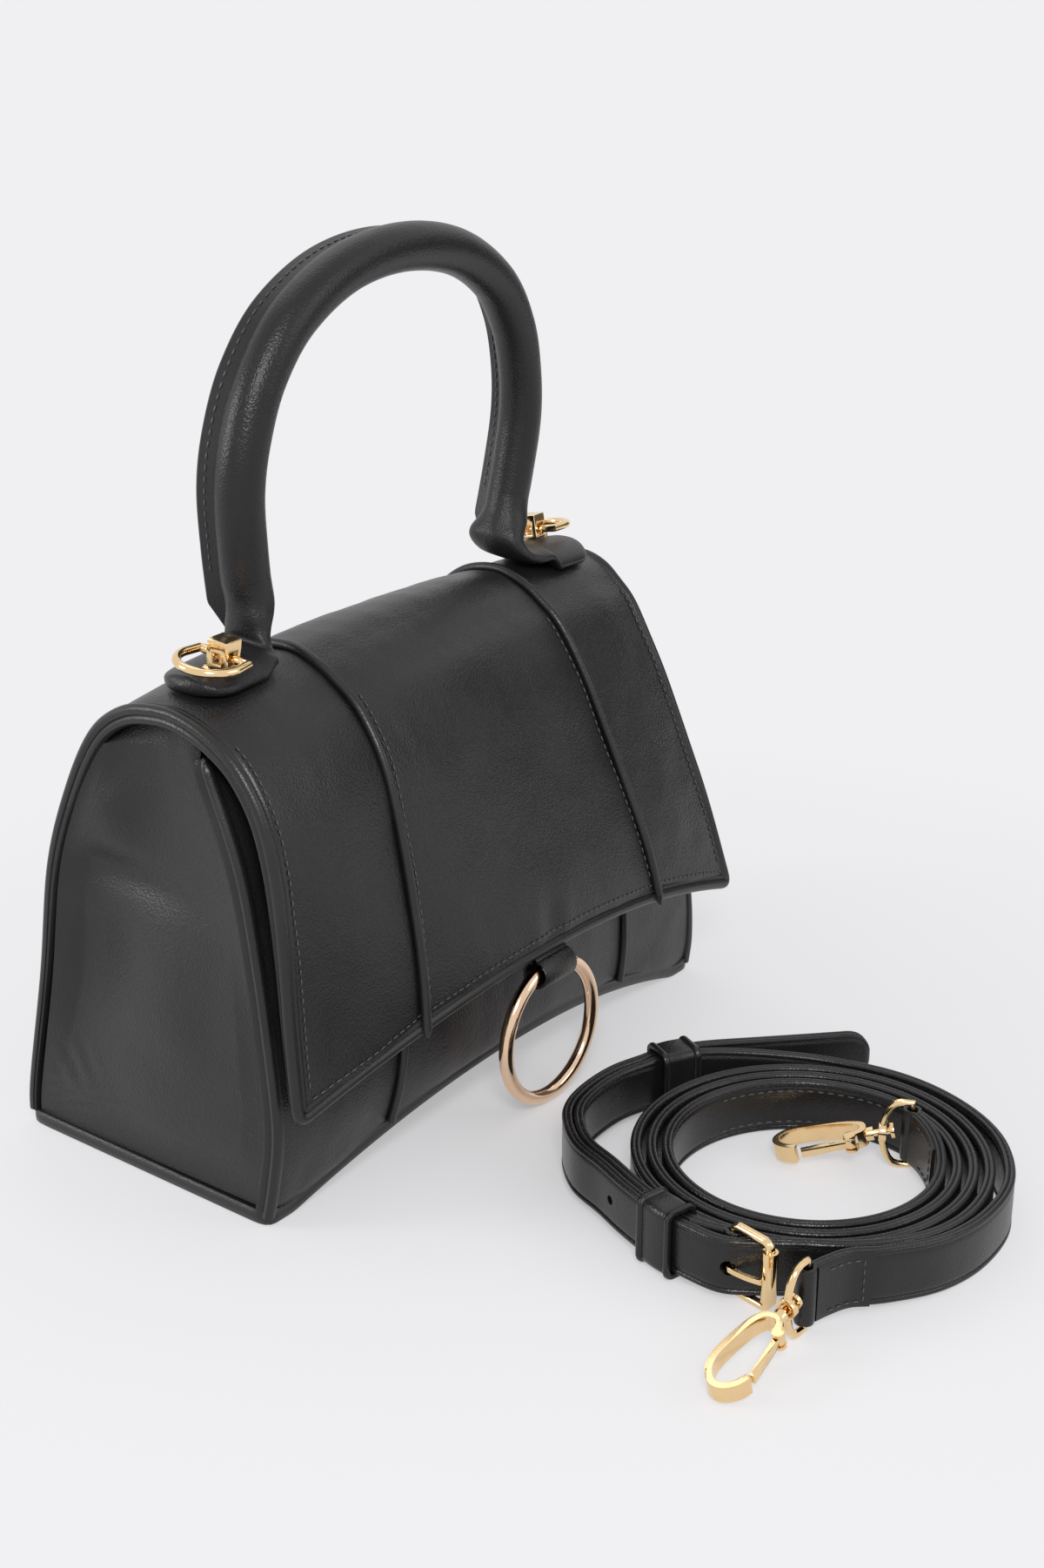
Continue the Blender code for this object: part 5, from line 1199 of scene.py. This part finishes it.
def tail_spot(height):
    """Where the loop's tail lies on the inside of the flap, this high above its edge."""
    arc = at_x(OVER.meeting(flap_edge(XS) + height, True), 0.0)
    return OVER.at(0.0, arc, FLAP_THICK + 0.0008 + LOOP_THICK / 2)[1:]


loop_turns = np.radians(np.linspace(62.0, -262.0, 40))
path = [tail_spot(0.0120), tail_spot(0.0030)]
path += list(loop_middle + loop_radius * np.column_stack([np.cos(loop_turns), np.sin(loop_turns)]))
path.append(path[1] + np.array([0.0008, -0.0006]))
path = smooth(path, 3)
path = np.column_stack([np.zeros(len(path)), path])
loop_section = np.array([
    (-1.0, -0.30), (-0.97, 0.30), (-0.90, 0.50), (-0.80, 0.36), (-0.70, 0.50), (0.70, 0.50), (0.80, 0.36),
    (0.90, 0.50), (0.97, 0.30), (1.0, -0.30), (0.92, -0.5), (-0.92, -0.5)])
face = np.cross(unit(np.gradient(path, axis=0)), [1.0, 0.0, 0.0])
made = swept("ring_loop_leather", path, loop_section * [LOOP_WIDTH / 2, LOOP_THICK], face)
fit(made, black_calf, "black_leather", "flap", "ring_loop")


# Magnetic snap: two turned steel discs, one set on the front leather and one under the flap, where they
# meet when the flap is closed.
place, finish = material("snap_steel", 1.0)
turned = noise(place, 900.0, 3.0)
steel = finish(blended(turned, (0.48, 0.46, 0.43, 1.0), (0.66, 0.64, 0.60, 1.0)), 0.22 + turned * 0.15)
for node, body in (("snap_socket", "bag"), ("snap_stud", "flap")):
    made = bevelled(node, f"{node}_disc", 0.0003)
    fit(made, steel, "magnet_steel", body, node)


# Shoulder strap: two plies of leather glued and painted at the edges, wound round and round and stood on
# its edge, with a short strap outside it that carries the buckle.
STRAP_WIDTH, STRAP_THICK, STRAP_LIFT = 0.0185, 0.0032, 0.0030
COIL_X, COIL_Y = -0.0025, -0.1800
COIL_FIRST_RADIUS = 0.0580
LAYER, PITCH = STRAP_THICK + 0.0005, STRAP_THICK + 0.0018
COIL_START, COIL_END = math.radians(209.0), math.radians(1415.0)
END_LIFT, LIFT_SPAN = 1.17, 60.0
SHARED_START, SHARED_END, BAR_TURN = 432.0, 537.0, 549.0
TAIL_LAYERS = (
    (375, 7.90), (387, 5.70), (404, 4.42), (420, 4.76), (432, 5.30), (439, 5.46), (448, 6.00), (458, 6.32),
    (467.5, 6.53), (476, 6.18), (487.5, 5.07), (499, 3.40), (512, 2.70), (527, 2.60), (540, 2.78),
    (548, 2.90), (555, 2.25), (562, 1.66),
)
SHORT_LAYERS = (
    (210, 3.88), (215.3, 2.34), (221.6, 1.30), (232, 1.16), (250, 1.10), (270, 1.20), (290, 1.62),
    (310, 1.74), (328, 1.73), (347, 1.69), (365, 1.70), (385, 1.83), (404, 2.20), (421, 3.40),
)
coil_middle = Vector((COIL_X, COIL_Y + STAND_BACK))


def coil_point(turn, layers=0.0):
    """Point beside the winding at this angle, the given number of strap layers further out."""
    radius = COIL_FIRST_RADIUS - PITCH * (turn - COIL_START) / (2 * math.pi) + LAYER * layers
    return coil_middle + Vector((math.cos(turn), math.sin(turn))) * float(radius)


def offset_line(line, distance):
    """The line of points moved sideways, to its left for a positive distance."""
    moved = []
    for i, point in enumerate(line):
        ahead = line[min(i + 1, len(line) - 1)] - line[max(i - 1, 0)]
        moved.append(point + Vector((-ahead.y, ahead.x)).normalized() * distance)
    return moved


tail_line = [Vector(p) for p in smooth([tuple(coil_point(math.radians(a), k)) for a, k in TAIL_LAYERS], 4)]
tail_turns = np.interp(np.arange(len(tail_line)) / 4, range(len(TAIL_LAYERS)), [a for a, _ in TAIL_LAYERS])
wound_count = round((COIL_END - COIL_START) / math.radians(10.0))
wound_turns = [mix(COIL_START, COIL_END, t) for t in np.linspace(0.0, 1.0, wound_count + 1)]
long_line = tail_line + [coil_point(turn) for turn in wound_turns]
long_lift = [mix(0.50, 1.0, ease((a - TAIL_LAYERS[0][0]) / LIFT_SPAN)) for a in tail_turns]
long_lift += [
    1.0 - ease(math.degrees(turn - COIL_START) / LIFT_SPAN)
    + END_LIFT * ease(1.0 - math.degrees(COIL_END - turn) / LIFT_SPAN) for turn in wound_turns
]
under_tail = offset_line(tail_line, LAYER)
shared = [i for i, a in enumerate(tail_turns) if SHARED_START <= a <= SHARED_END]
first, last = shared[0], shared[-1]
bar = coil_point(math.radians(BAR_TURN), 1.44)
approach = [coil_point(math.radians(a), k) for a, k in SHORT_LAYERS]
approach = smooth([tuple(p) for p in (*approach, under_tail[first], under_tail[first + 4])], 4)
arrival = smooth([tuple(p) for p in (under_tail[last - 4], under_tail[last], bar)], 4)
short_line = [
    *(Vector(p) for p in approach[:-5]), *under_tail[first : last + 1], *(Vector(p) for p in arrival[5:])]
short_turns = [math.degrees(math.atan2(p.y - coil_middle.y, p.x - coil_middle.x)) % 360 for p in short_line]
short_turns = [a if a > SHORT_LAYERS[0][0] - 5 and i < len(short_line) / 2 else a + 360
               for i, a in enumerate(short_turns)]
short_lift = [
    END_LIFT * (1.0 - ease((a - SHORT_LAYERS[0][0]) / LIFT_SPAN))
    + ease(1.0 - (SHARED_START - a) / LIFT_SPAN) for a in short_turns]
strap_calf = calf(
    "strap_calf", (0.0060, 0.0060, 0.0068, 1.0), (0.0120, 0.0118, 0.0125, 1.0), 0.22, 0.28, 1600.0)

# Section of the strap: the painted edge has a groove between the plies, and each face has a creased line
# just inside the edges. The first number goes through the thickness, the second up the width.
half_section = [
    (0.07, 0.985), (0.20, 1.0), (0.36, 0.993), (0.48, 0.960), (0.55, 0.905), (0.545, 0.850), (0.49, 0.815),
    (0.415, 0.795), (0.425, 0.770), (0.490, 0.735), (0.515, 0.60), (0.525, 0.3), (0.525, 0.0)]
one_face = half_section + [(x, -y) for x, y in half_section[-2::-1]]
strap_shape = np.array([*one_face, (0.0, -0.955), *[(-x, -y) for x, y in one_face], (0.0, 0.955)])


def left_of(ahead):
    """The level directions to the left of these."""
    return np.column_stack([-ahead[:, 1], ahead[:, 0], np.zeros(len(ahead))])


def strap_run(name, line, lift, skip_start, skip_end, tip):
    """The strap along the line's points in plan, at its lift off the ground, with a rounded tip or not."""
    flat = smooth([(p.x, p.y, z) for p, z in zip(line, lift)], 4)
    arcs = arcs_along(flat[:, :2])
    at = np.linspace(skip_start, arcs[-1] - skip_end, round(arcs[-1] / 0.0014))
    if tip:
        at = np.concatenate([[0.0002, 0.0005, 0.0010, 0.0017, 0.0026], at[at > 0.0034]])
    x, y, z = read_along(flat, arcs, at).T
    path = np.column_stack([x, y, STRAP_LIFT * z + STRAP_WIDTH / 2])
    tall = np.full(len(at), STRAP_WIDTH / 2)
    deep = np.full(len(at), STRAP_THICK)
    if tip:
        tall *= np.sqrt(np.clip(1 - (1 - np.minimum(at / (STRAP_WIDTH / 2), 1.0)) ** 2.4, 0.02, 1.0))
        deep *= np.clip(0.35 + at / 0.0022, 0.35, 1.0)
    sections = np.stack([strap_shape * [d, t] for d, t in zip(deep, tall)])
    ahead = unit(np.gradient(path[:, :2], axis=0))
    deep_way, tall_way = left_of(ahead)[:, None], np.array([0.0, 0.0, 1.0])
    made = rolled(name, path[:, None] + deep_way * sections[..., :1] + tall_way * sections[..., 1:])
    smooth_faces(made, 50.0)
    return made, path, ahead


EYE_BORE, BAR_BORE, PLY = 0.00125 + 0.00035, 0.0011 + 0.00035, 0.0016
strap_long, long_path, long_ahead = strap_run(
    "strap_long_leather", long_line, long_lift, 0.0, EYE_BORE + PLY / 2, True)
strap_short, short_path, short_ahead = strap_run(
    "strap_short_leather", short_line, short_lift, EYE_BORE + PLY / 2, BAR_BORE + PLY / 2, False)


def wrap(name, centre, away, bore, middle, low, high):
    """The strap's end folded round a wire: a ply that goes round it between the two heights."""
    turns = math.atan2(-away[1], -away[0]) + np.radians(np.linspace(32.0, 328.0, 36))
    path = np.array(centre) + (bore + PLY / 2) * np.column_stack([np.cos(turns), np.sin(turns)])
    pull = np.array(centre) - np.array(away) * (bore + PLY * 1.6)
    path = np.vstack([mix(pull, path[0], 0.35), path, mix(pull, path[-1], 0.35)])
    path = np.column_stack([path, np.full(len(path), (low + high) / 2 + middle)])
    section = round_section((high - low) / 2, PLY / 2, 20, 0.35)
    return swept(name, path, section, -left_of(unit(np.gradient(path, axis=0))))


# Punched holes in the tail: the first takes the prong, the rest are spare.
HOLE_PITCH, HOLE_RADIUS, PRONG_HOLE_RADIUS = 0.0250, 0.0015, 0.0024
BUCKLE_WIRE, BUCKLE_REACH, BUCKLE_ROOM = 0.0011, 0.0141, 0.0017
bar_turn = math.radians(BAR_TURN + 90.0 - 20.0)
ahead_way = Vector((math.cos(bar_turn), math.sin(bar_turn)))
aside_way = Vector((-ahead_way.y, ahead_way.x))
strap_middle = STRAP_LIFT + STRAP_WIDTH / 2
buckle_place = Matrix((
    (ahead_way.x, aside_way.x, 0, bar.x), (ahead_way.y, aside_way.y, 0, bar.y),
    (0, 0, 1, strap_middle), (0, 0, 0, 1)))
PRONG_SHARES = ((0.040, -0.190), (0.180, -0.360), (0.330, -0.410), (0.710, -0.365), (1.040, -0.262))
prong_rows = [(x * BUCKLE_REACH, y * BUCKLE_REACH) for x, y in PRONG_SHARES]
prong_line = [Vector(p) for p in smooth([(0.0, 0.0), *prong_rows], 4)]
prong_path = [(buckle_place @ Vector((p.x, p.y, 0.0))).xy for p in prong_line]
crossing, hole_start = min(
    ((i, j) for i in range(1, len(prong_path) - 1) for j in range(1, len(tail_line) - 1)),
    key=lambda pair: (prong_path[pair[0]] - tail_line[pair[1]]).length)
tail_arcs = arcs_along(np.array(tail_line))
punches = []
for k in range(3):
    i = int(np.argmin(np.abs(tail_arcs - tail_arcs[hole_start] + k * HOLE_PITCH)))
    direction = tail_line[i + 1] - tail_line[i - 1]
    spot, side_way, radius = tail_line[i], Vector((-direction.y, direction.x)), HOLE_RADIUS
    if k == 0:
        spot, side_way = prong_path[crossing], prong_path[crossing + 1] - prong_path[crossing - 1]
        radius = PRONG_HOLE_RADIUS
    turn = Vector((0, 0, 1)).rotation_difference(Vector((*side_way, 0.0)).normalized())
    bpy.ops.object.select_all(action="DESELECT")
    bpy.ops.mesh.primitive_cylinder_add(
        vertices=28, radius=radius, depth=3 * STRAP_THICK, location=(*spot, strap_middle),
        rotation=turn.to_euler())
    punches.append(bpy.context.active_object)
bpy.ops.object.select_all(action="DESELECT")
for punch in punches:
    punch.select_set(True)
bpy.context.view_layer.objects.active = punches[0]
bpy.ops.object.join()
press(strap_long, "BOOLEAN", operation="DIFFERENCE", solver="EXACT", object=punches[0])
bpy.data.objects.remove(punches[0])
smooth_faces(strap_long, 50.0)
fit(strap_long, strap_calf, "black_leather", "bag", "strap_long")
fit(strap_short, strap_calf, "black_leather", "bag", "strap_short")

end_middle = STRAP_LIFT * END_LIFT + STRAP_WIDTH / 2
strap_half, slot_half = STRAP_WIDTH / 2, 0.0028
for name, centre, away, bore, middle, low, high in (
    ("far_hook_wrap", long_line[-1], long_ahead[-1], EYE_BORE, end_middle, -strap_half, strap_half),
    ("near_hook_wrap", short_line[0], -short_ahead[0], EYE_BORE, end_middle, -strap_half, strap_half),
    ("buckle_wrap_low", short_line[-1], short_ahead[-1], BAR_BORE, strap_middle, -strap_half, -slot_half),
    ("buckle_wrap_high", short_line[-1], short_ahead[-1], BAR_BORE, strap_middle, slot_half, strap_half),
):
    made = wrap(name, tuple(centre), tuple(away), bore, middle, low, high)
    fit(made, strap_calf, "black_leather", "bag")


# Turned-back ends: where each strap end folds round its wire it is skived, laid back along the strap
# and stitched down round the edge.
def patch(name, path, ahead, sign, length):
    """A thin ply on one side of the strap, from the path's start, and the stitches that hold it."""
    arcs = arcs_along(path)
    pick = arcs <= length
    line, face = path[pick], left_of(ahead[pick]) * sign
    section = round_section(STRAP_WIDTH / 2 - 0.0002, 0.00065, 20, 0.35)
    made = swept(f"{name}_ply", line + face * (STRAP_THICK / 2 + 0.00035), section, face)
    fit(made, strap_calf, "black_leather", "bag")
    rise = np.array([0.0, 0.0, STRAP_WIDTH / 2 - 0.0024])
    out = line + face * (STRAP_THICK / 2 + 0.0010)
    end = [out[-3] + rise * t for t in np.linspace(1.0, -1.0, 20)]
    row = np.vstack([out[3:-3] + rise, end, (out[3:-3] - rise)[::-1]])
    rows_face = np.vstack([face[3:-3], np.repeat(face[-3:-2], 20, 0), face[3:-3][::-1]])
    made = stitched(f"{name}_stitches", row, rows_face, 0.0030, 0.0022, 0.00026)
    fit(made, thread, "black_edge", "bag")


patch("near_end", short_path, short_ahead, -1, 0.0215)
patch("far_end", long_path[::-1], -long_ahead[::-1], -1, 0.020)

# One inner turn was pieced: its join is sewn along both edges where it faces the middle of the coil.
JOIN_START, JOIN_END, JOIN_HEIGHT = 1078.0, 1158.0, 0.62
from_middle = long_path[:, :2] - np.array(coil_middle)
path_turns = np.degrees(np.unwrap(np.arctan2(from_middle[:, 1], from_middle[:, 0])))
path_turns += math.degrees(COIL_END) - path_turns[-1]
seam = (path_turns > JOIN_START) & (path_turns < JOIN_END)
inner_face = left_of(long_ahead)[seam]
for name, height in (("upper", JOIN_HEIGHT), ("lower", -JOIN_HEIGHT)):
    row = long_path[seam] + inner_face * STRAP_THICK / 2 + np.array([0.0, 0.0, STRAP_WIDTH / 2 * height])
    made = stitched(f"join_stitches_{name}", row, inner_face, 0.0034, 0.0026, 0.00030)
    fit(made, thread, "black_edge", "bag")


# Keepers: leather bands sewn into loops. One is fixed beside the buckle and the other slides along both
# straps.
KEEPER_WIDTH, KEEPER_WALL, KEEPER_ROOM = 0.0138, 0.0013, 0.0005
keeper_section = np.array([
    (-1.0, -0.35), (-1.04, 0.2), (-1.02, 0.75), (-0.93, 1.02), (-0.82, 1.02), (-0.73, 0.75), (-0.69, 0.36),
    (-0.62, 0.48), (0.0, 0.60), (0.62, 0.48), (0.69, 0.36), (0.73, 0.75), (0.82, 1.02), (0.93, 1.02),
    (1.02, 0.75), (1.04, 0.2), (1.0, -0.35), (0.9, -0.5), (-0.9, -0.5)]) * [KEEPER_WIDTH / 2, KEEPER_WALL]


def rounded(half_wide, half_tall, corner, count):
    """Points round a rectangle with round corners, and their ways out of it, as rows of x, y and 0."""
    quarters = [np.linspace(start, start + 90, count) for start in (0, 90, 180, 270)]
    turns = np.radians(np.concatenate(quarters))
    ways = np.column_stack([np.cos(turns), np.sin(turns), 0 * turns])
    corners = np.array([(1, 1, 0), (-1, 1, 0), (-1, -1, 0), (1, -1, 0)])
    middles = np.repeat(corners * [half_wide - corner, half_tall - corner, 0], count, 0)
    return middles + corner * ways, ways


def keeper(name, turn, slack, body, node):
    i = int(np.argmin(np.abs(tail_turns - turn)))
    direction = (tail_line[i + 1] - tail_line[i - 1]).normalized()
    side_way = Vector((-direction.y, direction.x))
    centre = tail_line[i] + side_way * (LAYER + slack) / 2
    place = Matrix((
        (side_way.x, 0, direction.x, centre.x), (side_way.y, 0, direction.y, centre.y),
        (0, 1, 0, strap_middle), (0, 0, 0, 1)))
    half_wide = (LAYER + STRAP_THICK + slack + KEEPER_WALL) / 2 + KEEPER_ROOM
    line, ways = rounded(half_wide, (STRAP_WIDTH + KEEPER_WALL) / 2 + KEEPER_ROOM, 0.0020, 9)
    turned = place.to_3x3()
    loop = np.array([(*(place @ Vector(p)), *(turned @ Vector(way))) for p, way in zip(line, ways)])
    loop = resampled(np.vstack([loop, loop[:1]]), 0.0006)[:-1]
    made = swept(name, loop[:, :3], keeper_section, loop[:, 3:], closed=True)
    fit(made, strap_calf, "black_leather", body, node)


bow = (KEEPER_WIDTH / 2) ** 2 / (2 * COIL_FIRST_RADIUS)
keeper("keeper_band_fixed", 526.0, bow, "bag", "keeper_fixed")
keeper("keeper_band_loose", 430.0, 0.0022, "keeper", "keeper_sliding")


# Buckle: a bent wire frame, a roller that turns on its outer bar, and a flat prong hooked round the bar
# in the strap's fold.
line, _ = rounded(BUCKLE_REACH / 2, STRAP_WIDTH / 2 + BUCKLE_ROOM, 0.0021, 8)
path = np.array([buckle_place @ Vector((x + BUCKLE_REACH / 2, 0.0, z)) for x, z, _ in line])
path = resampled(np.vstack([path, path[:1]]), 0.0007)[:-1]
section = round_section(BUCKLE_WIRE * 1.12, BUCKLE_WIRE * 1.3, 20, 0.8)
made = swept("buckle_wire", path, section, np.array((*aside_way, 0.0)), closed=True)
fit(made, pale_gold, "pale_gold", "bag", "buckle_frame")
made = bevelled("buckle_roller", "buckle_roller_tube", 0.00025)
fit(made, pale_gold, "pale_gold", "roller", "buckle_roller")
made = bevelled("buckle_prong", "buckle_tongue", 0.00035)
fit(made, pale_gold, "pale_gold", "prong", "buckle_prong")


# Snap hooks: cast in pale gold. A wire loop turns in the strap's fold, the hook swivels in its boss, and
# a sprung gate closes the hook.
for side in ("near", "far"):
    for node, name, body, width in (
        (f"hook_{side}_loop", f"{side}_hook_bow", f"{side}_loop", 0.0003),
        (f"hook_{side}_body", f"{side}_hook_casting", f"{side}_hook", 0.0005),
        (f"hook_{side}_gate", f"{side}_hook_gate", f"{side}_gate", 0.0003),
    ):
        fit(bevelled(node, name, width), pale_gold, "pale_gold", body, node)
